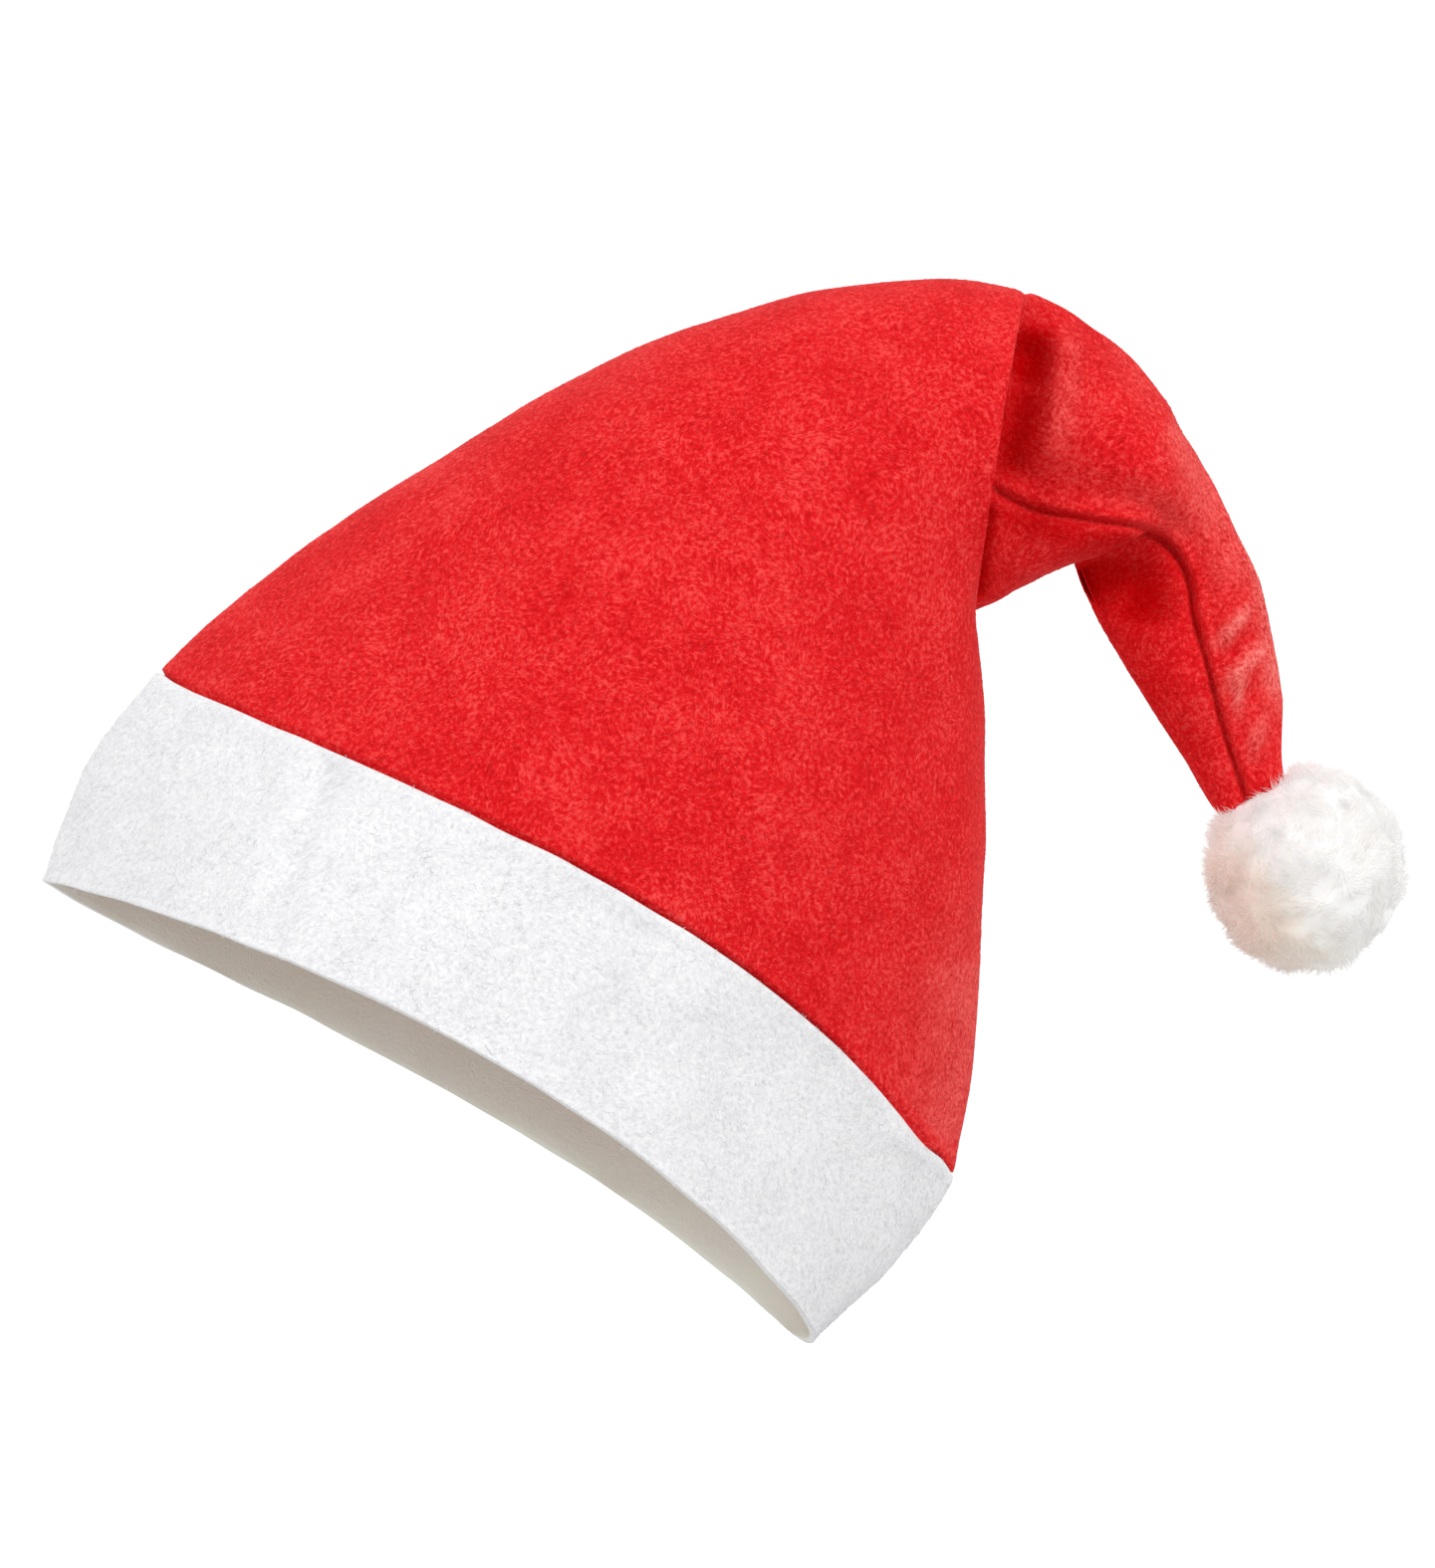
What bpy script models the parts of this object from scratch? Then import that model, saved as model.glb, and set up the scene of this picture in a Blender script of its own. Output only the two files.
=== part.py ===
"""A felt santa hat with the form it has on a tilted head.

Three pieces: the red crown with its folded-over tail, the white band round the
mouth and the plush pompom on the tail's end. All sizes in the tables are in
millimetres, and the mesh is written in metres.

Frame: the origin is the middle of the mouth, +X runs towards the tail, +Y goes to
the back of the hat and +Z is up. The hat is sewn from two flat panels, so its
cross-section is a lens with an outer seam (the top of the hat) and an inner seam
(the side that the tail falls over). Each section below is one lens: it gives both
seams and how far the front and the back panel bulge out between them.
"""

import bisect
import math
from collections import namedtuple

import bmesh
import bpy
from mathutils import Matrix, Vector

MM = 0.001
OBJECT_NAME = "santa_hat"

# Cloth and clearances
CROWN_WALL = 1.2
BAND_WALL = 1.8
GAP = 0.5
HEM_LAP = 6.0
HEM_FADE = 7.0

# Ring and section counts
PANEL_STEPS = 18
NORMAL_STEP_ALONG = 0.4
NORMAL_STEP_TURN = 0.06

# Pompom
POMPOM_CENTRE = (234.5, 30.0, 62.5)
POMPOM_RADIUS = 28.0
HEAD_RADIUS = 22.5
LOCK_COUNT = 64
LOCK_SIDES = 6
LOCK_ROOT_RADIUS = 6.2
LOCK_TIP_RADIUS = 4.3
LOCK_ROOT_DEPTH = 4.0
LOCK_LENGTHS = (0.0, -1.2, 0.5, -0.6, 0.9)
LOCK_LEAN = 0.16
GOLDEN_ANGLE = math.pi * (3.0 - math.sqrt(5.0))
TAIL_CLEARANCE_ANGLE = math.radians(38.0)
SOCKET_GAP = 0.5
SOCKET_START = 391.0

# Seams: position of the outer and the inner seam at each section, by the distance
# along the outer seam from the line where the band meets the crown
Seams = namedtuple("Seams", "along outer_x outer_y outer_z inner_x inner_y inner_z")
SEAMS = (
    Seams(-60.0, -99.5, 0.0, 60.0, 100.5, 0.0, -60.5),
    Seams(-31.0, -89.5, 6.0, 90.0, 120.0, 6.0, -41.5),
    Seams(0.0, -71.5, 12.0, 114.5, 138.5, 12.0, -18.5),
    Seams(45.0, -37.0, 18.0, 145.5, 144.5, 18.0, 9.0),
    Seams(82.0, -5.5, 22.0, 167.0, 147.0, 22.0, 39.5),
    Seams(127.0, 33.0, 26.0, 191.0, 148.5, 26.0, 71.5),
    Seams(167.0, 71.0, 28.0, 208.5, 148.5, 28.0, 98.5),
    Seams(203.0, 106.0, 29.0, 218.5, 147.5, 29.0, 115.5),
    Seams(231.0, 135.5, 30.0, 221.0, 146.5, 30.0, 126.0),
    Seams(255.0, 159.5, 30.0, 217.5, 146.5, 30.0, 130.5),
    Seams(264.0, 161.5, 30.2, 217.0, 146.5, 30.2, 131.5),
    Seams(273.0, 164.5, 30.5, 216.0, 148.0, 30.5, 132.5),
    Seams(281.0, 169.0, 31.0, 214.0, 151.5, 31.0, 134.0),
    Seams(290.0, 177.0, 32.0, 210.0, 157.5, 32.0, 137.5),
    Seams(305.0, 189.0, 33.0, 199.5, 165.5, 33.0, 142.0),
    Seams(319.0, 198.0, 33.5, 188.0, 170.5, 33.5, 144.5),
    Seams(335.0, 206.0, 34.0, 173.5, 173.0, 34.0, 145.5),
    Seams(342.0, 208.5, 33.0, 169.0, 173.3, 35.0, 144.7),
    Seams(349.0, 211.0, 33.0, 163.5, 174.5, 36.0, 142.0),
    Seams(361.0, 216.5, 32.0, 152.0, 178.0, 35.0, 133.5),
    Seams(377.0, 222.5, 31.0, 136.5, 185.0, 33.0, 120.5),
    Seams(394.0, 226.5, 30.0, 116.5, 196.0, 30.0, 101.5),
    Seams(406.0, 227.5, 30.0, 103.5, 203.5, 30.0, 90.5),
    Seams(418.0, 228.0, 30.0, 91.5, 212.5, 30.0, 76.5),
    Seams(427.0, 229.5, 30.0, 82.5, 220.5, 30.0, 70.5),
)

# Panels: how far each panel bulges, where its middle lies between the seams, how
# far that middle runs ahead of the straight line (arch) and how much more it does so
# towards the inner seam (skew), how steeply the section leans back (lean), how deep
# the pleat behind the front flap is (tuck), the same for the roll in the tail's
# lower half (roll), and the lengthwise crease (crease); the last four and the place
# of the middle belong to the front panel alone
Panels = namedtuple("Panels", "along front back middle arch skew lean tuck roll crease")
PANELS = (
    Panels(-60.0, 72.0, 72.0, 0.50, 12.5, 0.35, 0.18, 0.0, 0.0, 0.0),
    Panels(-31.0, 69.0, 69.0, 0.50, 10.0, 0.60, 0.18, 0.0, 0.0, 0.0),
    Panels(0.0, 66.0, 66.0, 0.50, 7.5, 1.00, 0.18, 0.0, 0.0, 0.0),
    Panels(45.0, 62.0, 61.0, 0.50, 5.0, 0.60, 0.13, 0.0, 0.0, 0.0),
    Panels(82.0, 58.0, 56.0, 0.50, 3.0, 0.20, 0.07, 0.0, 0.0, 0.0),
    Panels(127.0, 52.0, 50.0, 0.50, 1.0, 0.0, 0.03, 0.0, 0.0, 0.0),
    Panels(167.0, 46.0, 44.0, 0.50, 0.0, 0.0, 0.0, 0.0, 0.0, 0.0),
    Panels(203.0, 41.0, 38.0, 0.50, 0.0, 0.0, 0.0, 0.0, 0.0, 0.0),
    Panels(231.0, 37.0, 34.0, 0.50, 0.0, 0.0, 0.0, 0.0, 0.0, 0.0),
    Panels(249.0, 35.5, 31.0, 0.50, 0.0, 0.0, 0.0, 0.0, 0.0, 0.0),
    Panels(255.0, 31.0, 30.0, 0.50, 0.0, 0.0, 0.0, 0.0, 0.0, 0.0),
    Panels(264.0, 23.0, 29.0, 0.54, 0.0, 0.0, 0.0, 14.0, 0.0, 1.0),
    Panels(273.0, 15.5, 28.0, 0.58, 0.0, 0.0, 0.0, 2.0, 0.0, 3.0),
    Panels(281.0, 15.0, 27.0, 0.62, 0.0, 0.0, 0.0, 0.0, 0.0, 5.0),
    Panels(290.0, 17.0, 25.0, 0.66, 0.0, 0.0, 0.0, 0.0, 0.0, 6.0),
    Panels(305.0, 20.0, 22.0, 0.66, 1.0, 0.0, 0.0, 0.0, 0.0, 6.0),
    Panels(319.0, 21.0, 20.0, 0.60, 4.0, 0.0, 0.0, 0.0, 0.0, 6.0),
    Panels(326.0, 20.5, 19.0, 0.54, 5.5, 0.0, 0.0, 0.0, 0.0, 5.5),
    Panels(333.0, 16.0, 18.0, 0.49, 6.5, 0.0, 0.0, 0.0, 0.0, 4.5),
    Panels(341.0, 10.0, 17.0, 0.41, 6.5, 0.0, 0.0, 0.0, 7.0, 3.0),
    Panels(349.0, 6.5, 16.0, 0.36, 6.5, 0.0, 0.0, 0.0, 1.5, 2.0),
    Panels(361.0, 9.0, 15.0, 0.36, 5.5, 0.0, 0.0, 0.0, 0.0, 3.0),
    Panels(377.0, 11.5, 14.0, 0.44, 1.0, 0.0, 0.0, 0.0, 0.0, 3.0),
    Panels(394.0, 10.5, 12.0, 0.48, -2.0, 0.0, 0.0, 0.0, 0.0, 2.5),
    Panels(406.0, 9.0, 10.0, 0.50, -1.5, 0.0, 0.0, 0.0, 0.0, 2.0),
    Panels(418.0, 7.0, 8.0, 0.50, 0.0, 0.0, 0.0, 0.0, 0.0, 1.0),
    Panels(427.0, 4.5, 4.5, 0.50, 0.0, 0.0, 0.0, 0.0, 0.0, 0.0),
)
CREASE_WIDTH = 0.12
SWELL_POWER = 0.85
TUCK_POWER = 2.2
ROLL_POWER = 1.5

# Corners: how pointed the section is at each seam; 1 is a sharp lens, 0.5 is round
Corners = namedtuple("Corners", "along outer inner")
CORNERS = (
    Corners(-60.0, 0.92, 0.38),
    Corners(0.0, 0.85, 0.92),
    Corners(127.0, 0.62, 0.58),
    Corners(255.0, 0.58, 0.60),
    Corners(427.0, 0.50, 0.50),
)

# Steps: how many rings each stretch of the hat takes, up to this distance along
Stretch = namedtuple("Stretch", "start end rings")
BAND_STRETCHES = (Stretch(-60.0, 0.0, 6),)
CROWN_STRETCHES = (
    Stretch(-HEM_LAP, 0.0, 1),
    Stretch(0.0, HEM_FADE, 2),
    Stretch(HEM_FADE, 231.0, 11),
    Stretch(231.0, 249.0, 2),
    Stretch(249.0, 277.0, 10),
    Stretch(277.0, 330.0, 6),
    Stretch(330.0, 352.0, 8),
    Stretch(352.0, 418.0, 6),
    Stretch(418.0, 427.0, 2),
)

# Colours, as linear RGB, with roughness
Finish = namedtuple("Finish", "name colour roughness")
RED_FELT = Finish("red_felt", (0.78, 0.017, 0.022, 1.0), 0.95)
WHITE_FELT = Finish("white_felt", (0.86, 0.86, 0.88, 1.0), 0.95)
WHITE_PLUSH = Finish("white_plush", (0.86, 0.82, 0.78, 1.0), 0.9)


def smooth_value(table, column, along):
    """A table's column read at any distance along, by a cubic through its rows."""
    places = [row.along for row in table]
    values = [getattr(row, column) for row in table]
    index = min(max(bisect.bisect_right(places, along) - 1, 0), len(table) - 2)

    def slope(at):
        if at in (0, len(table) - 1):
            return 0.0 if len(table) > 5 else (values[-1] - values[0]) / (places[-1] - places[0])
        before = (values[at] - values[at - 1]) / (places[at] - places[at - 1])
        after = (values[at + 1] - values[at]) / (places[at + 1] - places[at])
        if before * after <= 0.0:
            return 0.0
        return 2.0 * before * after / (before + after)

    span = places[index + 1] - places[index]
    t = (along - places[index]) / span
    start = values[index] * (1 + 2 * t) * (1 - t) ** 2 + slope(index) * span * t * (1 - t) ** 2
    end = values[index + 1] * t * t * (3 - 2 * t) + slope(index + 1) * span * t * t * (t - 1)
    return start + end


def hat_point(along, turn):
    """The hat's outer surface: turn 0 is the outer seam, the front panel runs to pi
    at the inner seam, and the back panel runs on to two pi."""
    seams = {name: smooth_value(SEAMS, name, along) for name in Seams._fields[1:]}
    form = {name: smooth_value(PANELS, name, along) for name in Panels._fields[1:]}
    outer = Vector((seams["outer_x"], seams["outer_y"], seams["outer_z"]))
    inner = Vector((seams["inner_x"], seams["inner_y"], seams["inner_z"]))
    across = (1.0 - math.cos(turn)) / 2.0
    on_front = math.sin(turn) > 0.0

    chord = inner - outer
    onward = Vector((-chord.z, 0.0, chord.x)).normalized()
    middle = form["middle"] if on_front else 0.5
    share = 2.0 * across * (1.0 - across) * (2.0 * middle - 0.5) + across * across
    pointed = (1.0 - across) * smooth_value(CORNERS, "outer", along)
    pointed += across * smooth_value(CORNERS, "inner", along)
    level = max(4.0 * across * (1.0 - across), 0.0)
    dome = level ** pointed
    swell = level ** SWELL_POWER * (1.0 + form["skew"] * (2.0 * across - 1.0))

    if on_front:
        crease = form["crease"] * math.exp(-((across - 0.5) / CREASE_WIDTH) ** 2)
        depth = crease - form["front"] * dome
        lower_half = math.sin(math.pi * max(2.0 * across - 1.0, 0.0)) ** ROLL_POWER
        back_step = form["tuck"] * level ** TUCK_POWER + form["roll"] * lower_half
    else:
        depth = form["back"] * dome
        back_step = 0.0
    ahead = form["arch"] * swell - form["lean"] * depth - back_step
    return outer + chord * share + onward * ahead + Vector((0.0, depth, 0.0))


def hat_normal(along, turn):
    """Unit vector out of the hat's surface, from small steps to each side."""
    first, last = SEAMS[0].along, SEAMS[-1].along
    before = max(along - NORMAL_STEP_ALONG, first)
    after = min(along + NORMAL_STEP_ALONG, last)
    forward = hat_point(after, turn) - hat_point(before, turn)
    round_it = hat_point(along, turn + NORMAL_STEP_TURN) - hat_point(along, turn - NORMAL_STEP_TURN)
    return round_it.cross(forward).normalized()


def ring_points(along, inset):
    """One ring of points, inset millimetres inside the outer surface."""
    turns = [math.pi * step / PANEL_STEPS for step in range(2 * PANEL_STEPS)]
    return [hat_point(along, turn) - hat_normal(along, turn) * inset for turn in turns]


def section_places(stretches):
    """The distances along at which a piece has its rings."""
    places = [stretches[0].start]
    for stretch in stretches:
        step = (stretch.end - stretch.start) / stretch.rings
        places += [stretch.start + step * (ring + 1) for ring in range(stretch.rings)]
    return places


def hem_inset(along):
    """How far the crown lies inside the band's outer face, which fades above the band."""
    t = min(max(1.0 - along / HEM_FADE, 0.0), 1.0)
    return (BAND_WALL + GAP) * t * t * (3.0 - 2.0 * t)


def add_rings(mesh, rings):
    """Put rings of points into the mesh, in metres."""
    return [[mesh.verts.new(point * MM) for point in ring] for ring in rings]


def join_rings(mesh, first, second):
    """Quads between two rings; their front is out when second lies onward."""
    count = len(first)
    for at in range(count):
        after = (at + 1) % count
        mesh.faces.new((first[at], first[after], second[after], second[at]))


def close_ring(mesh, ring, flip):
    """A fan from a ring to its middle."""
    middle = mesh.verts.new(sum((vert.co for vert in ring), Vector()) / len(ring))
    for at, vert in enumerate(ring):
        after = ring[(at + 1) % len(ring)]
        mesh.faces.new((after, vert, middle) if flip else (vert, after, middle))


def finish_object(mesh, name, finish, collection):
    """Turn a bmesh into a named object with its material."""
    data = bpy.data.meshes.new(name)
    bmesh.ops.triangulate(mesh, faces=mesh.faces[:])
    mesh.to_mesh(data)
    mesh.free()
    data.shade_smooth()
    data.materials.append(felt_material(finish))
    thing = bpy.data.objects.new(name, data)
    collection.objects.link(thing)
    return thing


def felt_material(finish):
    """A plain Principled material for one piece."""
    material = bpy.data.materials.new(finish.name)
    material.use_nodes = True
    shader = material.node_tree.nodes["Principled BSDF"]
    shader.inputs["Base Color"].default_value = finish.colour
    shader.inputs["Roughness"].default_value = finish.roughness
    shader.inputs["Metallic"].default_value = 0.0
    material.diffuse_color = finish.colour
    return material


def build_crown(collection):
    """The red crown: a wall open at the mouth and gathered shut at the tail's end."""
    places = section_places(CROWN_STRETCHES)
    mesh = bmesh.new()
    outside = add_rings(mesh, [ring_points(at, hem_inset(at)) for at in places])
    inside = add_rings(mesh, [ring_points(at, hem_inset(at) + CROWN_WALL) for at in places[:-2]])
    for first, second in zip(outside, outside[1:]):
        join_rings(mesh, first, second)
    for first, second in zip(inside, inside[1:]):
        join_rings(mesh, second, first)
    join_rings(mesh, inside[0], outside[0])
    close_ring(mesh, outside[-1], False)
    close_ring(mesh, inside[-1], True)
    return finish_object(mesh, "crown", RED_FELT, collection)


def build_band(collection):
    """The white band: a ring of felt open at both ends."""
    places = section_places(BAND_STRETCHES)
    mesh = bmesh.new()
    outside = add_rings(mesh, [ring_points(at, 0.0) for at in places])
    inside = add_rings(mesh, [ring_points(at, BAND_WALL) for at in places])
    for first, second in zip(outside, outside[1:]):
        join_rings(mesh, first, second)
    for first, second in zip(inside, inside[1:]):
        join_rings(mesh, second, first)
    join_rings(mesh, inside[0], outside[0])
    join_rings(mesh, outside[-1], inside[-1])
    return finish_object(mesh, "band", WHITE_FELT, collection)


def lock_directions():
    """Even directions over a ball, without those that the tail comes in by."""
    centre = Vector(POMPOM_CENTRE)
    tail = (tail_middle(SEAMS[-2].along) - centre).normalized()
    directions = []
    for index in range(LOCK_COUNT):
        height = 1.0 - 2.0 * (index + 0.5) / LOCK_COUNT
        reach = math.sqrt(1.0 - height * height)
        angle = GOLDEN_ANGLE * index
        direction = Vector((reach * math.cos(angle), reach * math.sin(angle), height))
        if direction.angle(tail) > TAIL_CLEARANCE_ANGLE:
            directions.append(direction)
    return directions


def tail_middle(along):
    """The middle of the tail's section."""
    points = ring_points(along, 0.0)
    return sum(points, Vector()) / len(points)


def build_locks():
    """All plush locks as one mesh of blunt cones that start inside the head."""
    mesh = bmesh.new()
    centre = Vector(POMPOM_CENTRE)
    for index, direction in enumerate(lock_directions()):
        side = direction.orthogonal().normalized()
        lean = Matrix.Rotation(GOLDEN_ANGLE * index, 3, direction) @ side
        aim = (direction + lean * LOCK_LEAN).normalized()
        tip_reach = POMPOM_RADIUS + LOCK_LENGTHS[index % len(LOCK_LENGTHS)]
        start = centre + direction * (HEAD_RADIUS - LOCK_ROOT_DEPTH)
        length = tip_reach - HEAD_RADIUS + LOCK_ROOT_DEPTH
        turn = aim.to_track_quat("Z", "Y").to_matrix().to_4x4()
        place = Matrix.Translation((start + aim * length / 2.0) * MM) @ turn
        bmesh.ops.create_cone(
            mesh, cap_ends=True, cap_tris=False, segments=LOCK_SIDES,
            radius1=LOCK_ROOT_RADIUS * MM, radius2=LOCK_TIP_RADIUS * MM,
            depth=length * MM, matrix=place)
    data = bpy.data.meshes.new("pompom_locks")
    mesh.to_mesh(data)
    mesh.free()
    return bpy.data.objects.new("pompom_locks", data)


def build_tail_cutter():
    """The tail's end, a little larger, which cuts its socket in the pompom."""
    span = SEAMS[-1].along - SOCKET_START
    steps = 8
    places = [SOCKET_START + span * step / steps for step in range(steps + 1)]
    mesh = bmesh.new()
    rings = add_rings(mesh, [ring_points(at, -SOCKET_GAP) for at in places])
    beyond = (tail_middle(places[-1]) - tail_middle(places[-2])).normalized() * SOCKET_GAP
    rings += add_rings(mesh, [[point + beyond for point in ring_points(places[-1], -SOCKET_GAP)]])
    for first, second in zip(rings, rings[1:]):
        join_rings(mesh, first, second)
    close_ring(mesh, rings[0], True)
    close_ring(mesh, rings[-1], False)
    data = bpy.data.meshes.new("tail_cutter")
    mesh.to_mesh(data)
    mesh.free()
    return bpy.data.objects.new("tail_cutter", data)


def add_boolean(thing, operation, operand, overlapping):
    """A Boolean modifier with the exact solver."""
    modifier = thing.modifiers.new(operation.lower(), "BOOLEAN")
    modifier.operation = operation
    modifier.object = operand
    modifier.solver = "EXACT"
    modifier.use_self = overlapping


def build_pompom(collection, cutters):
    """The pompom: a round head, the locks fused to it and the tail's socket."""
    mesh = bmesh.new()
    bmesh.ops.create_icosphere(
        mesh, subdivisions=3, radius=HEAD_RADIUS * MM,
        matrix=Matrix.Translation(Vector(POMPOM_CENTRE) * MM))
    pompom = finish_object(mesh, "pompom", WHITE_PLUSH, collection)
    for cutter, operation in ((build_locks(), "UNION"), (build_tail_cutter(), "DIFFERENCE")):
        cutter.hide_render = True
        cutter.display_type = "WIRE"
        cutters.objects.link(cutter)
        add_boolean(pompom, operation, cutter, operation == "UNION")
    return pompom


def new_collection(name):
    """A collection under the scene."""
    collection = bpy.data.collections.new(name)
    bpy.context.scene.collection.children.link(collection)
    return collection


def main():
    """Clear the scene and build the three pieces."""
    for thing in list(bpy.data.objects):
        bpy.data.objects.remove(thing, do_unlink=True)
    pieces = new_collection(OBJECT_NAME)
    cutters = new_collection("cutters")
    build_band(pieces)
    build_crown(pieces)
    build_pompom(pieces, cutters)


main()
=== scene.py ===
"""A felt santa hat, dressed and set in a plain studio.

The crown and the band are skinned from the sections of the hat's solids, a few of them
corrected, and then get their folds, dents and loose fibres. The pompom is a clumped plush head with
its pile. Tables are in millimetres, meshes in metres, in the hat's own frame.
"""

import logging
import math
from dataclasses import dataclass
from enum import Enum
from typing import Any, NamedTuple, Sequence

import bmesh
import bpy
import numpy as np
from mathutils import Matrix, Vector, noise


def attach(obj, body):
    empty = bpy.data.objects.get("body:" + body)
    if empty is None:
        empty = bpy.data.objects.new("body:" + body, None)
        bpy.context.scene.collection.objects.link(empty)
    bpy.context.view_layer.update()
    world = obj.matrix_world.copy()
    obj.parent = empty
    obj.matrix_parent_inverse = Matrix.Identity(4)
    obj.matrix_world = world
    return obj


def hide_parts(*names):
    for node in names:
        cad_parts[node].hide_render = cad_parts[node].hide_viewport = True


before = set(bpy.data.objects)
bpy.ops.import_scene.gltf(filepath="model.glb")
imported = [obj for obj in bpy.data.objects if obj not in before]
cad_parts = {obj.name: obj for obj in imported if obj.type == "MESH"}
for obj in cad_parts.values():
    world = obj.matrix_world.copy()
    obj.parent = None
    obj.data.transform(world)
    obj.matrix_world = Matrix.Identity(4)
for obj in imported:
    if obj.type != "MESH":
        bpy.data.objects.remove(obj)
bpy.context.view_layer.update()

LOG = logging.getLogger("santa_hat")
MM = 0.001
BODY = "root"
SHINE = 0.15
SHORT_TABLE = 5
Colour = tuple[float, float, float, float]
Socket = bpy.types.NodeSocket
Piece = bpy.types.Object


class Slot(Enum):
    """The record's material slots."""

    RED_FELT = "red_felt"
    WHITE_FELT = "white_felt"
    WHITE_PLUSH = "white_plush"


class Panel(Enum):
    """The two panels that the hat is sewn from."""

    FRONT = "front"
    BACK = "back"


class Seams(NamedTuple):
    """Both seams at one distance along the hat."""

    along: float
    outer_x: float
    outer_y: float
    outer_z: float
    inner_x: float
    inner_y: float
    inner_z: float


class Bulge(NamedTuple):
    """How the two panels bulge between the seams at one distance along."""

    along: float
    front: float
    back: float
    middle: float = 0.5
    arch: float = 0.0
    skew: float = 0.0
    lean: float = 0.0
    tuck: float = 0.0
    roll: float = 0.0
    crease: float = 0.0


class Corners(NamedTuple):
    """How pointed the section is at each seam."""

    along: float
    outer: float
    inner: float


class Stretch(NamedTuple):
    """A stretch of the hat and how many rings it takes."""

    start: float
    end: float
    rings: int


SEAMS = (
    Seams(-60, -99.5, 0, 60, 100.5, 0, -60.5),
    Seams(-31, -89.5, 6, 90, 121, 6, -42.3),
    Seams(0, -71.5, 12, 114.5, 138.5, 12, -18.5),
    Seams(45, -37, 18, 145.5, 144.5, 18, 9),
    Seams(82, -5.8, 22, 167.5, 147, 22, 39.5),
    Seams(127, 32.8, 26, 191.4, 148.5, 26, 71.5),
    Seams(167, 71, 28, 208.5, 148.5, 28, 98.5),
    Seams(203, 106, 29, 218.5, 147.5, 29, 115.5),
    Seams(231, 135.5, 30, 221, 145.8, 30, 126),
    Seams(255, 158, 30, 217.8, 145, 30, 130.5),
    Seams(264, 160.5, 30.2, 217.3, 145.2, 30.2, 131.5),
    Seams(273, 164.2, 30.5, 216, 147.3, 30.5, 132.5),
    Seams(281, 169, 31, 214, 151.5, 31, 134),
    Seams(290, 177, 32, 210, 157.5, 32, 137.5),
    Seams(305, 189, 33, 199.5, 165.5, 33, 142),
    Seams(319, 198, 33.5, 188, 170.5, 33.5, 144.5),
    Seams(335, 206, 34, 173.5, 173, 34, 145.5),
    Seams(342, 208.5, 33, 169, 173.3, 35, 144.7),
    Seams(349, 211.5, 33, 163.5, 174.2, 36, 142),
    Seams(361, 217.2, 32, 152, 177.4, 35, 133.5),
    Seams(377, 223.3, 31, 136.5, 184.3, 33, 120.5),
    Seams(394, 227.3, 30, 116.5, 195.2, 30, 101.5),
    Seams(406, 228.2, 30, 103.5, 202.8, 30, 90.5),
    Seams(418, 228.4, 30, 91.5, 212, 30, 76.5),
    Seams(427, 229.5, 30, 82.5, 220.5, 30, 70.5),
)

BULGES = (
    Bulge(-60, 72, 72, arch=12.5, skew=0.35, lean=0.18),
    Bulge(-31, 69, 69, arch=10, skew=0.6, lean=0.18),
    Bulge(0, 66, 66, arch=7.5, skew=1, lean=0.18),
    Bulge(45, 62, 61, arch=5, skew=0.6, lean=0.13),
    Bulge(82, 58, 56, arch=3, skew=0.2, lean=0.07),
    Bulge(127, 52, 50, arch=1, lean=0.03),
    Bulge(167, 46, 44),
    Bulge(203, 41, 38),
    Bulge(231, 37, 34),
    Bulge(249, 35.5, 31, tuck=0.6),
    Bulge(255, 34.2, 30, tuck=2.2),
    Bulge(258.5, 31, 29.7, middle=0.51, tuck=6, crease=0.3),
    Bulge(264, 23, 29, middle=0.54, tuck=14, crease=1),
    Bulge(273, 15.5, 28, middle=0.58, tuck=2, crease=3),
    Bulge(281, 15, 27, middle=0.62, crease=5),
    Bulge(290, 17, 25, middle=0.66, crease=6),
    Bulge(305, 20, 22, middle=0.66, arch=1, crease=6),
    Bulge(319, 21, 20, middle=0.6, arch=4, crease=6),
    Bulge(326, 20.5, 19, middle=0.54, arch=5.5, crease=5.5),
    Bulge(333, 16, 18, middle=0.49, arch=6.5, crease=4.5),
    Bulge(341, 10, 17, middle=0.41, arch=6.5, roll=7, crease=3),
    Bulge(349, 6.5, 16, middle=0.36, arch=6.5, roll=1.5, crease=2),
    Bulge(361, 9, 15, middle=0.36, arch=5.5, crease=3),
    Bulge(377, 11.5, 14, middle=0.44, arch=1, crease=3),
    Bulge(394, 10.5, 12, middle=0.48, arch=-2, crease=2.5),
    Bulge(406, 9, 10, arch=-1.5, crease=2),
    Bulge(418, 7, 8, crease=1),
    Bulge(427, 4.5, 4.5),
)

CORNERS = (
    Corners(-60, 0.92, 0.38),
    Corners(0, 0.85, 0.92),
    Corners(127, 0.62, 0.58),
    Corners(255, 0.58, 0.60),
    Corners(427, 0.50, 0.50),
)


def smooth_step(value: np.ndarray) -> np.ndarray:
    """An S-curve from 0 to 1."""
    t = np.clip(value, 0.0, 1.0)
    return t * t * (3.0 - 2.0 * t)


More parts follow.
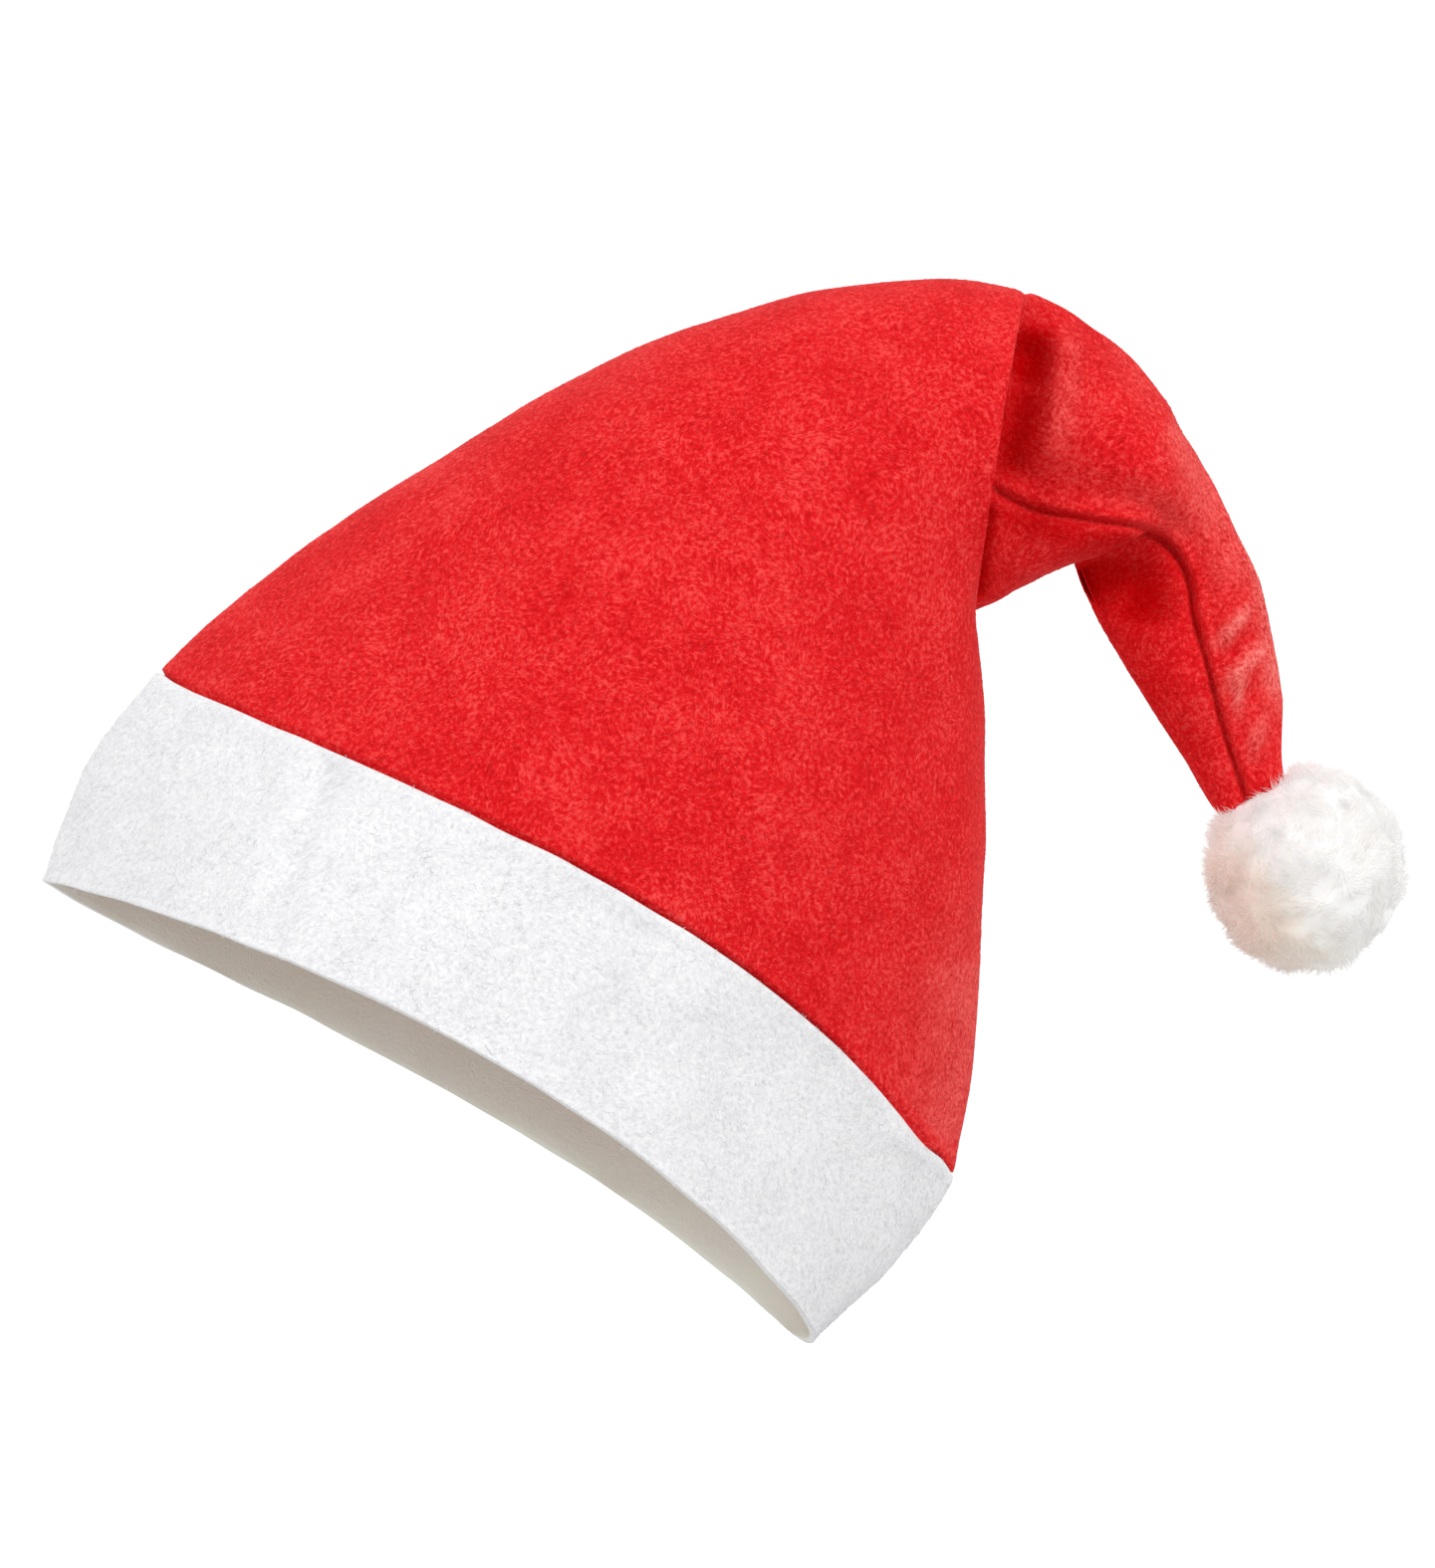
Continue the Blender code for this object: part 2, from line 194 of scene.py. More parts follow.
def read_column(table: Sequence[Any], name: str, along: np.ndarray) -> np.ndarray:
    """Read a table's column at any distances along, by a cubic through its rows.

    A short table keeps its overall slope at both ends, a longer one is level there.

    Args:
        table: rows that each have a field along.
        name: the column to read.
        along: distances along the hat.

    Returns:
        The column's value at each distance.
    """
    places = np.array([row.along for row in table], dtype=float)
    values = np.array([getattr(row, name) for row in table], dtype=float)
    rises = np.diff(values) / np.diff(places)
    product = rises[:-1] * rises[1:]
    total = np.where(product > 0.0, rises[:-1] + rises[1:], 1.0)
    slopes = np.zeros_like(values)
    slopes[1:-1] = np.where(product > 0.0, 2.0 * product / total, 0.0)
    if len(table) <= SHORT_TABLE:
        slopes[[0, -1]] = (values[-1] - values[0]) / (places[-1] - places[0])
    index = np.clip(np.searchsorted(places, along, side="right") - 1, 0, len(places) - 2)
    span = places[index + 1] - places[index]
    t = (along - places[index]) / span
    start = values[index] * (1 + 2 * t) * (1 - t) ** 2 + slopes[index] * span * t * (1 - t) ** 2
    end = values[index + 1] * t * t * (3 - 2 * t) + slopes[index + 1] * span * t * t * (t - 1)
    return start + end


@dataclass(frozen=True)
class HatForm:
    """The hat's outer surface, as sections between its two seams.

    Turn 0 is the outer seam, the front panel runs to pi at the inner seam, and the
    back panel runs on to two pi.
    """

    first: float = -60.0
    last: float = 427.0
    crease_width: float = 0.12
    swell_power: float = 0.85
    tuck_power: float = 1.4
    roll_power: float = 1.5
    step_along: float = 0.4
    rim_reach: float = 2.0
    step_turn: float = 0.06

    def points(self, along: np.ndarray, turn: np.ndarray) -> np.ndarray:
        """Points on the outer surface.

        Args:
            along: distances along the outer seam, any shape.
            turn: angles round the section, the same shape.

        Returns:
            An array with one more axis, which holds x, y and z.
        """
        seam = {name: read_column(SEAMS, name, along) for name in Seams._fields[1:]}
        form = {name: read_column(BULGES, name, along) for name in Bulge._fields[1:]}
        outer = np.stack([seam["outer_x"], seam["outer_y"], seam["outer_z"]], axis=-1)
        inner = np.stack([seam["inner_x"], seam["inner_y"], seam["inner_z"]], axis=-1)
        chord = inner - outer
        onward = np.stack([-chord[..., 2], np.zeros_like(along), chord[..., 0]], axis=-1)
        onward /= np.linalg.norm(onward, axis=-1, keepdims=True)

        across = (1.0 - np.cos(turn)) / 2.0
        front = np.sin(turn) > 0.0
        middle = np.where(front, form["middle"], 0.5)
        share = 2.0 * across * (1.0 - across) * (2.0 * middle - 0.5) + across * across
        pointed = (1.0 - across) * read_column(CORNERS, "outer", along)
        pointed += across * read_column(CORNERS, "inner", along)
        level = np.maximum(4.0 * across * (1.0 - across), 0.0)
        dome = level**pointed
        swell = level**self.swell_power * (1.0 + form["skew"] * (2.0 * across - 1.0))

        crease = form["crease"] * np.exp(-(((across - 0.5) / self.crease_width) ** 2))
        depth = np.where(front, crease - form["front"] * dome, form["back"] * dome)
        lower = np.maximum(2.0 * across - 1.0, 0.0)
        rolled = np.maximum(np.sin(math.pi * lower), 0.0) ** self.roll_power
        step = form["tuck"] * level**self.tuck_power + form["roll"] * rolled
        ahead = form["arch"] * swell - form["lean"] * depth - np.where(front, step, 0.0)
        result = outer + chord * share[..., None] + onward * ahead[..., None]
        result[..., 1] += depth
        return result

    def normals(self, along: np.ndarray, turn: np.ndarray) -> np.ndarray:
        """Unit vectors out of the surface.

        Args:
            along: distances along the outer seam, any shape.
            turn: angles round the section, the same shape.

        Returns:
            An array with one more axis, which holds x, y and z.
        """
        along = np.maximum(along, self.first + self.rim_reach)
        before = along - self.step_along
        after = np.minimum(along + self.step_along, self.last)
        forward = self.points(after, turn) - self.points(before, turn)
        round_it = self.points(along, turn + self.step_turn)
        round_it = round_it - self.points(along, turn - self.step_turn)
        normal = np.cross(round_it, forward)
        return normal / np.maximum(np.linalg.norm(normal, axis=-1, keepdims=True), 1e-9)


def rounded_line(line: Sequence[tuple[float, float]]) -> np.ndarray:
    """Round a line by cutting its corners twice.

    Args:
        line: the line's points, as X and Z.

    Returns:
        The rounded line's points, in rows.
    """
    points = np.array(line, dtype=float)
    for _ in range(2):
        quarter = 0.75 * points[:-1] + 0.25 * points[1:]
        three = 0.25 * points[:-1] + 0.75 * points[1:]
        middle = np.stack([quarter, three], axis=1).reshape(-1, 2)
        points = np.vstack([points[:1], middle, points[-1:]])
    return points


def line_distance(
    line: Sequence[tuple[float, float]], spots: np.ndarray, fade: float
) -> tuple[np.ndarray, np.ndarray, np.ndarray]:
    """Where spots lie beside a line drawn in the plane of X and Z.

    Args:
        line: the line's points.
        spots: x, y and z of the points to place, in rows.
        fade: the length over which the line's ends fade.

    Returns:
        The distance from the line, the side (1 on its left) and the strength along it.
    """
    points = rounded_line(line)
    flat = spots[:, [0, 2]]
    best = np.full(len(flat), 1e9)
    side = np.zeros(len(flat))
    place = np.zeros(len(flat))
    run = 0.0
    for first, second in zip(points, points[1:]):
        way = second - first
        length = float(np.hypot(*way))
        away = flat - first
        share = np.clip(away @ way / length**2, 0.0, 1.0)
        gap = away - share[:, None] * way
        distance = np.hypot(gap[:, 0], gap[:, 1])
        nearer = distance < best
        best = np.where(nearer, distance, best)
        side = np.where(nearer, np.sign(way[0] * away[:, 1] - way[1] * away[:, 0]), side)
        place = np.where(nearer, run + share * length, place)
        run += length
    return best, side, smooth_step(place / fade) * smooth_step((run - place) / fade)


@dataclass(frozen=True)
class Fold:
    """A fold or dent in a panel, drawn as a line in the plane of X and Z.

    groove is how deep the line lies and groove_width how wide, and a ridge has a
    negative groove; lip is how far the cloth on the line's left stands out, lip_edge
    how sharply it does and lip_width how far it fades. start and end bound the
    distances along the hat that it reaches.
    """

    line: tuple[tuple[float, float], ...]
    groove: float
    groove_width: float
    start: float
    end: float
    lip: float = 0.0
    lip_width: float = 4.0
    lip_edge: float = 1.3
    fade: float = 9.0
    bound_fade: float = 4.0

    def height(self, spots: np.ndarray, along: np.ndarray) -> np.ndarray:
        """How far each spot is moved out of the surface.

        Args:
            spots: x, y and z of points on the panel, in rows.
            along: their distances along the hat.

        Returns:
            The heights, negative into the hat.
        """
        away, side, ends = line_distance(self.line, spots, self.fade)
        groove = self.groove * np.exp(-((away / self.groove_width) ** 2))
        swell = (1.0 - np.exp(-((away / self.lip_edge) ** 2))) * np.exp(-away / self.lip_width)
        lip = self.lip * np.where(side > 0.0, swell, 0.0)
        inside = np.minimum(along - self.start, self.end - along)
        return (lip - groove) * ends * smooth_step(inside / self.bound_fade)


@dataclass(frozen=True)
class Tint:
    """A place along a line where shade is painted dark into the felt, or a highlight painted pale."""

    line: tuple[tuple[float, float], ...]
    width: float
    amount: float
    start: float
    end: float = 430.0
    edge: float = 2.0
    least: float = 0.4
    line_fade: float = 4.0
    start_fade: float = 3.0
    end_fade: float = 4.0

    def strength(self, spots: np.ndarray, along: np.ndarray) -> np.ndarray:
        """How strong the tint is at each spot.

        Args:
            spots: x, y and z of points on the panel, in rows.
            along: their distances along the hat.

        Returns:
            The strengths, from 0 to 1.
        """
        away, _, ends = line_distance(self.line, spots, self.line_fade)
        within = smooth_step((along - self.start) / self.start_fade)
        within *= smooth_step((self.end - along) / self.end_fade)
        fall = np.exp(-((away / self.width) ** self.edge))
        return self.amount * fall * (self.least + (1.0 - self.least) * ends) * within


TAIL_CREASE = (
    (148.5, 164.6), (159.5, 159.1), (170.2, 156.3), (185.7, 154.2), (192.3, 153),
    (197, 150.6), (201.3, 145.2), (203.5, 138.6), (203.9, 130.4), (206.3, 122.2),
    (208.9, 110.7), (212.2, 99.2), (216.2, 87.7), (219, 78.7),
)
FLAP_HOLLOW = ((159, 208), (157.4, 200), (155.2, 187), (153.2, 174), (151.5, 164))
FLAP_RIDGE = ((171, 211), (168.8, 201.7), (166.5, 186.8), (163.5, 176.3), (160.5, 167))
ROLL_POCKET = ((170, 139.5), (180, 140.9), (189, 140), (191, 134.5), (189.5, 126))
FLAP_FOOT = ((148.6, 161), (147, 152), (146, 143), (145.2, 133))

FRONT_FOLDS = (
    Fold(
        TAIL_CREASE, groove=2.3, groove_width=1.1, start=268, end=430,
        lip=2.8, lip_width=6.5, lip_edge=1, fade=3,
    ),
    Fold(FLAP_RIDGE, groove=-2.6, groove_width=4.5, start=268, end=330),
    Fold(FLAP_HOLLOW, groove=6, groove_width=7, start=262, end=330),
    Fold(FLAP_FOOT, groove=3, groove_width=2.2, start=262, end=300, fade=4),
    Fold(ROLL_POCKET, groove=5, groove_width=8, start=343, end=385, fade=7),
    Fold(
        ((209.5, 122), (214.5, 128), (220, 133)), groove=-2, groove_width=2.4,
        start=345, end=400, fade=5,
    ),
    Fold(
        ((211.5, 118), (216, 123), (221, 127)), groove=0.7, groove_width=2,
        start=345, end=400, fade=5,
    ),
    Fold(
        ((212, 110), (217.7, 117.6), (224, 122.5)), groove=-2, groove_width=2.4,
        start=350, end=412, fade=5,
    ),
    Fold(
        ((216, 105), (220.5, 111.5), (224.5, 115)), groove=0.8, groove_width=2.2,
        start=350, end=412, fade=5,
    ),
    Fold(
        ((223.5, 104), (220.5, 98), (218, 91)), groove=-1.4, groove_width=2.2,
        start=380, end=420, fade=5,
    ),
)

BAND_FOLDS = (
    Fold(
        ((-36, 44), (-32.3, 58), (-27.7, 76), (-22.5, 88), (-19, 98)),
        groove=2.6, groove_width=4.5, start=-62, end=0.5, lip=1.8, lip_width=9,
        lip_edge=2.2, fade=6,
    ),
    Fold(
        ((116, -1), (125, -7), (134, -12)), groove=-1.5, groove_width=4,
        start=-30, end=1, fade=6,
    ),
    Fold(
        ((-38, 98), (-38.5, 86), (-36, 72)), groove=0.8, groove_width=4.5,
        start=-62, end=-1, lip=0.4, lip_width=6,
    ),
    Fold(
        ((63, 56), (58, 42), (55, 24), (58, 8)), groove=1.1,
        groove_width=7, start=-62, end=-1, lip=0.5, lip_width=9,
    ),
)

# Painted shade: the felt is darkened along the folds' hollows, the crease and the roll's pocket, where
# shade falls.
PAINTED_SHADE_TINTS = (
    Tint(((160, 209), (159.5, 200), (158, 191)), 7.2, 1, 256, 335, 3),
    Tint(((158, 192), (155, 176), (152, 165)), 6.2, 0.75, 256, 335, 2.5),
    Tint(ROLL_POCKET, width=10, amount=0.95, start=339, edge=2.5),
    Tint(TAIL_CREASE[:6], width=1, amount=0.35, start=268),
    Tint(TAIL_CREASE[4:10], width=1.5, amount=0.75, start=268),
    Tint(TAIL_CREASE[9:], width=1.1, amount=0.35, start=268),
    Tint(FLAP_FOOT, width=3.5, amount=0.8, start=259, end=300),
    Tint(
        ((152, 158), (165, 152.5), (180, 150), (191, 149.5)), width=4,
        amount=0.65, start=262, end=342,
    ),
    Tint(((180, 132), (190, 112), (205, 90)), width=10, amount=0.35, start=345),
)

# Painted highlights: paler felt on wrinkle ridges and along the tail's right edge, where the fuzz
# catches the light.
PAINTED_HIGHLIGHT_TINTS = (
    Tint(((198, 186), (206, 170), (214, 150), (219, 138)), 8, 0.4, 318),
    Tint(((214, 168), (221, 148), (225.5, 128), (227, 108)), 4, 0.9, 318),
    Tint(((209.5, 122.5), (214.5, 128), (219.8, 133.5)), 2, 1, 345),
    Tint(((212, 111), (217.7, 118.1), (224.5, 123.5)), 2.2, 1, 350),
    Tint(((216.5, 116), (215.3, 110), (215, 104)), 1.8, 0.8, 355),
    Tint(((223, 104), (218.5, 93)), 2, 0.5, 385),
    Tint(((172, 206), (169, 190), (166, 174)), 4, 0.25, 275, 330),
    Tint(((180, 205), (190, 195), (198, 184)), 7, 0.15, 285, 345),
    Tint(((183, 162), (196, 160), (206, 152)), 5, 0.20, 300),
    Tint(((146, 40), (144, 10), (140, -10)), 16, 0.40, 2, 200),
)


class SeamDent(NamedTuple):
    """A small dent in the outer seam's line."""

    along: float
    depth: float
    width: float


SEAM_DENTS = (SeamDent(259, 0.8, 4.5), SeamDent(290, 0.8, 5), SeamDent(327, 1, 5))
SEAM_DENT_TURN = 0.55


class Bumps(NamedTuple):
    """Soft bumps of the cloth: how high, how much higher on the tail, and how wide.

    at_tip is the share of them that stays at the tail's tip.
    """

    height: float
    tail: float
    size: float
    seed: float
    at_tip: float


CROWN_BUMPS = (Bumps(0.9, 0, 46, 3, 0), Bumps(0.35, 0.35, 19, 9, 0), Bumps(0.10, 0.12, 6.5, 15, 1))
BAND_BUMPS = (Bumps(0.55, 0, 30, 21, 0), Bumps(0.28, 0, 12, 27, 0), Bumps(0.10, 0, 5, 33, 0))


class EdgeShift(NamedTuple):
    """How far the band's top edge and its rim are moved along the hat at one turn."""

    along: float
    top: float
    rim: float


EDGE_SHIFTS = (
    EdgeShift(0, 0.8, 0), EdgeShift(0.5, -1.2, 0), EdgeShift(1.2, -1.3, 0.5),
    EdgeShift(1.9, -0.4, 1.2), EdgeShift(2.3, -1.4, 0.6), EdgeShift(2.56, -2.9, 0),
    EdgeShift(2.7, -2.5, 0), EdgeShift(2.86, 0.2, 0), EdgeShift(3.14, 0.8, 0),
    EdgeShift(4.2, 0, 0.6), EdgeShift(5, 0, 0.6), EdgeShift(5.8, 0, -1),
    EdgeShift(6.2832, 0.8, 0),
)


def add_noise(spots: np.ndarray, size: float, seed: float) -> np.ndarray:
    """Smooth noise from -1 to 1 at each spot.

    Args:
        spots: points in rows, in millimetres.
        size: the length of one bump, in millimetres.
        seed: an offset that gives another pattern.

    Returns:
        One value for each spot.
    """
    away = Vector((seed, seed * 1.7, -seed))
    return np.array([noise.noise(Vector(spot) / size + away) for spot in spots.tolist()])


def grid_faces(rings: int, steps: int) -> list[tuple[int, ...]]:
    """Quads between closed rings of points that follow each other.

    Args:
        rings: how many rings there are.
        steps: how many points each ring has.

    Returns:
        The corners of each face.
    """
    faces = []
    for ring in range(rings - 1):
        here = ring * steps
        for step in range(steps):
            after = (step + 1) % steps
            faces.append((here + step, here + after, here + steps + after, here + steps + step))
    return faces


def new_piece(name: str, spots: np.ndarray, faces: Sequence[Sequence[int]]) -> Piece:
    """A smooth mesh object at the origin.

    Args:
        name: the piece's name.
        spots: its points in millimetres, in rows.
        faces: the corners of each face.

    Returns:
        The object, linked to the scene.
    """
    data = bpy.data.meshes.new(name)
    data.from_pydata((spots * MM).tolist(), [], faces)
    data.validate()
    data.shade_smooth()
    piece = bpy.data.objects.new(name, data)
    bpy.context.scene.collection.objects.link(piece)
    return piece


def mark_points(piece: Piece, name: str, values: np.ndarray) -> None:
    """Store one number for each point of the mesh."""
    attribute = piece.data.attributes.new(name, "FLOAT", "POINT")
    attribute.data.foreach_set("value", values.astype(np.float32))


def rgb(red: float, green: float, blue: float) -> Colour:
    """An opaque colour."""
    return (red, green, blue, 1.0)


class Bench:
    """Adds and joins the nodes of one tree."""

    def __init__(self, tree: bpy.types.NodeTree) -> None:
        """Start on an empty tree."""
        self.tree = tree
        tree.nodes.clear()

    def add(self, kind: str, feeds: dict[Any, Any] | None = None, **settings: Any) -> bpy.types.Node:
        """Add a node.

        Args:
            kind: the node's type.
            feeds: for each input, by name or number, a value or a socket to join.
            settings: the node's own options.

        Returns:
            The new node.
        """
        node = self.tree.nodes.new(kind)
        for name, value in settings.items():
            setattr(node, name, value)
        for key, value in (feeds or {}).items():
            if isinstance(value, Socket):
                self.tree.links.new(value, node.inputs[key])
            else:
                node.inputs[key].default_value = value
        return node

    def maths(self, operation: str, first: Any, second: Any) -> Socket:
        """A Math node's result."""
        return self.add("ShaderNodeMath", {0: first, 1: second}, operation=operation).outputs[0]

    def plus(self, first: Any, second: Any) -> Socket:
        """The sum of two values."""
        return self.maths("ADD", first, second)

    def times(self, first: Any, second: Any) -> Socket:
        """The product of two values."""
        return self.maths("MULTIPLY", first, second)

    def vector(self, operation: str, first: Any, second: Any) -> Socket:
        """A Vector Math node's vector."""
        feeds = {0: first, 1: second}
        return self.add("ShaderNodeVectorMath", feeds, operation=operation).outputs["Vector"]

    def reach(self, way: Any, direction: tuple[float, ...]) -> Socket:
        """How far a vector goes in one direction."""
        feeds = {0: way, 1: direction}
        return self.add("ShaderNodeVectorMath", feeds, operation="DOT_PRODUCT").outputs["Value"]

    def push(self, noise_colour: Any, strength: float) -> Socket:
        """A noise's colour as a vector to any side."""
        feeds = {0: self.vector("SUBTRACT", noise_colour, (0.5, 0.5, 0.5)), "Scale": strength}
        return self.add("ShaderNodeVectorMath", feeds, operation="SCALE").outputs["Vector"]

    def mark(self, name: str) -> Socket:
        """A number that is stored on a mesh, in a material."""
        return self.add("ShaderNodeAttribute", attribute_name=name).outputs["Fac"]

    def chance(self, low: float, high: float, seed: int) -> Socket:
        """A random number for each point or fibre."""
        feeds = {2: low, 3: high, "Seed": seed}
        return self.add("FunctionNodeRandomValue", feeds, data_type="FLOAT").outputs[1]

    def noise(self, place: Any, scale: float, detail: float = 2.0) -> bpy.types.Node:
        """A noise texture."""
        feeds = {"Vector": place, "Scale": scale, "Detail": detail, "Roughness": 0.6}
        return self.add("ShaderNodeTexNoise", feeds)

    def mix(self, amount: Any, first: Any, second: Any) -> Socket:
        """A mix of two colours."""
        node = self.add("ShaderNodeMix", {0: amount, 6: first, 7: second}, data_type="RGBA")
        return node.outputs[2]

    def span(self, value: Any, low: float = 0.3, high: float = 0.7) -> Socket:
        """A value spread from low..high to 0..1."""
        node = self.add("ShaderNodeMapRange", {"Value": value, "From Min": low, "From Max": high})
        return node.outputs[0]

    def surface(self, feeds: dict[str, Any]) -> None:
        """End a material with a surface of little shine."""
        shader = self.add("ShaderNodeBsdfPrincipled", {"Specular IOR Level": SHINE, **feeds})
        self.add("ShaderNodeOutputMaterial", {"Surface": shader.outputs[0]})


def new_material(name: str) -> tuple[bpy.types.Material, Bench]:
    """Start an empty material.

    Args:
        name: the material's name.

    Returns:
        The material and the bench for its nodes.
    """
    material = bpy.data.materials.new(name)
    material.use_nodes = True
    return material, Bench(material.node_tree)


def muted(bench: Bench, deep: Socket, sheen: float) -> dict[str, Any]:
    """Sheen and shine that fade where shade is painted into the cloth.

    Args:
        bench: the material's bench.
        deep: how much shade is painted there, from 0 to 1.
        sheen: the sheen's weight where no shade is painted.

    Returns:
        What feeds the surface's sheen and shine.
    """
    shown = bench.maths("SUBTRACT", 1.0, deep)
    return {
        "Sheen Weight": bench.times(shown, sheen),
        "Specular IOR Level": bench.times(shown, SHINE),
    }


@dataclass(frozen=True)
class FeltFinish:
    """Needle felt: matted short fibres with whorls, specks and soft patches.

    dark, base and light are the tones of the outer face. deep is the colour of the painted
    shade in folds and hollows, painted_highlight that of the painted highlights on wrinkle
    ridges and the tail's edges, and inside the inner face's tone, darker on the red felt and
    beige on the white, which is partly painted shade. streak, patch and grain weigh the
    three patterns, and each scale is that of its noise.
    """

    name: str
    dark: Colour
    base: Colour
    light: Colour
    inside: Colour
    # deep: the colour of painted shade in folds and hollows.
    deep: Colour
    # painted_highlight: the colour of painted highlights on ridges and edges.
    painted_highlight: Colour
    sheen_tint: Colour
    sheen: float = 0.15
    streak: float = 0.45
    patch: float = 0.16
    grain: float = 0.45
    bump: float = 0.6
    bump_depth: float = 0.0004
    grain_height: float = 0.7
    painted_shade_share: float = 0.85
    inside_patches: float = 0.25
    whorl_scale: float = 42.0
    whorl_push: float = 0.022
    streak_scale: float = 1700.0
    streak_ways: tuple[tuple[float, tuple[float, float, float]], ...] = (
        (0.6, (1.0, 1.0, 0.40)), (-0.7, (0.42, 1.0, 1.0)),
    )
    choice_scale: float = 130.0
    choice_span: tuple[float, float] = (0.42, 0.58)
    dark_span: tuple[float, float] = (0.25, 0.5)
    light_span: tuple[float, float] = (0.5, 0.75)
    highlight_span: tuple[float, float] = (0.2, 0.7)
    patch_scale: float = 55.0
    grain_scale: float = 800.0

    def streaks(self, bench: Bench, place: Socket) -> Socket:
        """Fine streaks that swirl and change their way from place to place.

        Args:
            bench: the material's bench.
            place: the point's place on the piece.

        Returns:
            The streaks' pattern.
        """
        whorl = bench.noise(place, self.whorl_scale, 1.0).outputs["Color"]
        bent = bench.vector("ADD", place, bench.push(whorl, self.whorl_push))
        ways = []
        for turn, stretch in self.streak_ways:
            feeds = {0: bent, "Rotation": (0.0, turn, 0.0), "Scale": stretch}
            turned = bench.add("ShaderNodeMapping", feeds).outputs[0]
            ways.append(bench.noise(turned, self.streak_scale, 3.0).outputs[0])
        choice = bench.noise(place, self.choice_scale, 1.0).outputs[0]
        choice = bench.span(choice, *self.choice_span)
        feeds = {0: choice, 2: ways[0], 3: ways[1]}
        return bench.add("ShaderNodeMix", feeds, data_type="FLOAT").outputs[0]

    def material(self) -> bpy.types.Material:
        """Build the felt's material, which reads the marks inside, deep for the painted shade and
        painted_highlight for the painted highlights.

        Returns:
            The material.
        """
        material, bench = new_material(self.name)
        place = bench.add("ShaderNodeTexCoord").outputs["Object"]
        streak = self.streaks(bench, place)
        patch = bench.noise(place, self.patch_scale).outputs[0]
        grain = bench.noise(place, self.grain_scale, 4.0).outputs[0]
        height = bench.plus(streak, bench.times(grain, self.grain_height))

        tone = bench.times(bench.span(streak), self.streak)
        for value, weight in ((patch, self.patch), (grain, self.grain)):
            tone = bench.plus(tone, bench.times(bench.span(value), weight))
        tone = bench.maths("DIVIDE", tone, self.streak + self.patch + self.grain)
        lower = bench.mix(bench.span(tone, *self.dark_span), self.dark, self.base)
        colour = bench.mix(bench.span(tone, *self.light_span), lower, self.light)
        # Painted shade: the folds' hollows take the darker deep colour.
        deep = bench.mark("deep")
        colour = bench.mix(bench.times(deep, self.painted_shade_share), colour, self.deep)
        # Painted highlight on wrinkle ridges and edges, broken up by the felt's tone.
        highlight_amount = bench.times(bench.mark("painted_highlight"), bench.span(tone, *self.highlight_span))
        colour = bench.mix(highlight_amount, colour, self.painted_highlight)
        # The inner face's tone, darker on the red felt and beige on the white: partly the felt's own
        # inner face, partly painted shade inside the hat.
        shade = bench.mix(bench.span(patch), self.inside, self.base)
        lined = bench.mix(self.inside_patches, self.inside, shade)
        colour = bench.mix(bench.mark("inside"), colour, lined)
        relief = bench.add("ShaderNodeBump", {
            "Strength": self.bump, "Distance": self.bump_depth, "Height": height,
        }).outputs[0]
        # Sheen and shine fade where shade is painted.
        bench.surface({
            "Base Color": colour, "Roughness": 0.93, "Sheen Roughness": 0.45,
            "Sheen Tint": self.sheen_tint, "Normal": relief, **muted(bench, deep, self.sheen),
        })
        return material


@dataclass(frozen=True)
class FibreFinish:
    """Single loose fibres, each with its own tone between two colours, with painted shade and painted
    highlights.
    """

    name: str
    dull: Colour
    bright: Colour
    # deep: the colour of painted shade in folds and hollows.
    deep: Colour
    # painted_highlight: the colour of painted highlights on ridges and edges.
    painted_highlight: Colour
    sheen: float = 0.2
    patch_scale: float = 60.0
    least: float = 0.4

    def material(self) -> bpy.types.Material:
        """Build the fibres' material, which reads each fibre's tone, its painted shade and its painted
        highlight.

        Returns:
            The material.
        """
        material, bench = new_material(self.name)
        place = bench.add("ShaderNodeTexCoord").outputs["Object"]
        patch = bench.span(bench.noise(place, self.patch_scale).outputs[0])
        tone, deep = bench.mark("tone"), bench.mark("deep")
        colour = bench.mix(bench.times(tone, bench.plus(patch, self.least)), self.dull, self.bright)
        # Painted shade in the folds' hollows.
        colour = bench.mix(deep, colour, self.deep)
        # Painted highlight on wrinkle ridges and edges, strongest on pale fibres.
        colour = bench.mix(bench.times(bench.mark("painted_highlight"), tone), colour, self.painted_highlight)
        bench.surface({"Base Color": colour, "Roughness": 0.9, **muted(bench, deep, self.sheen)})
        return material


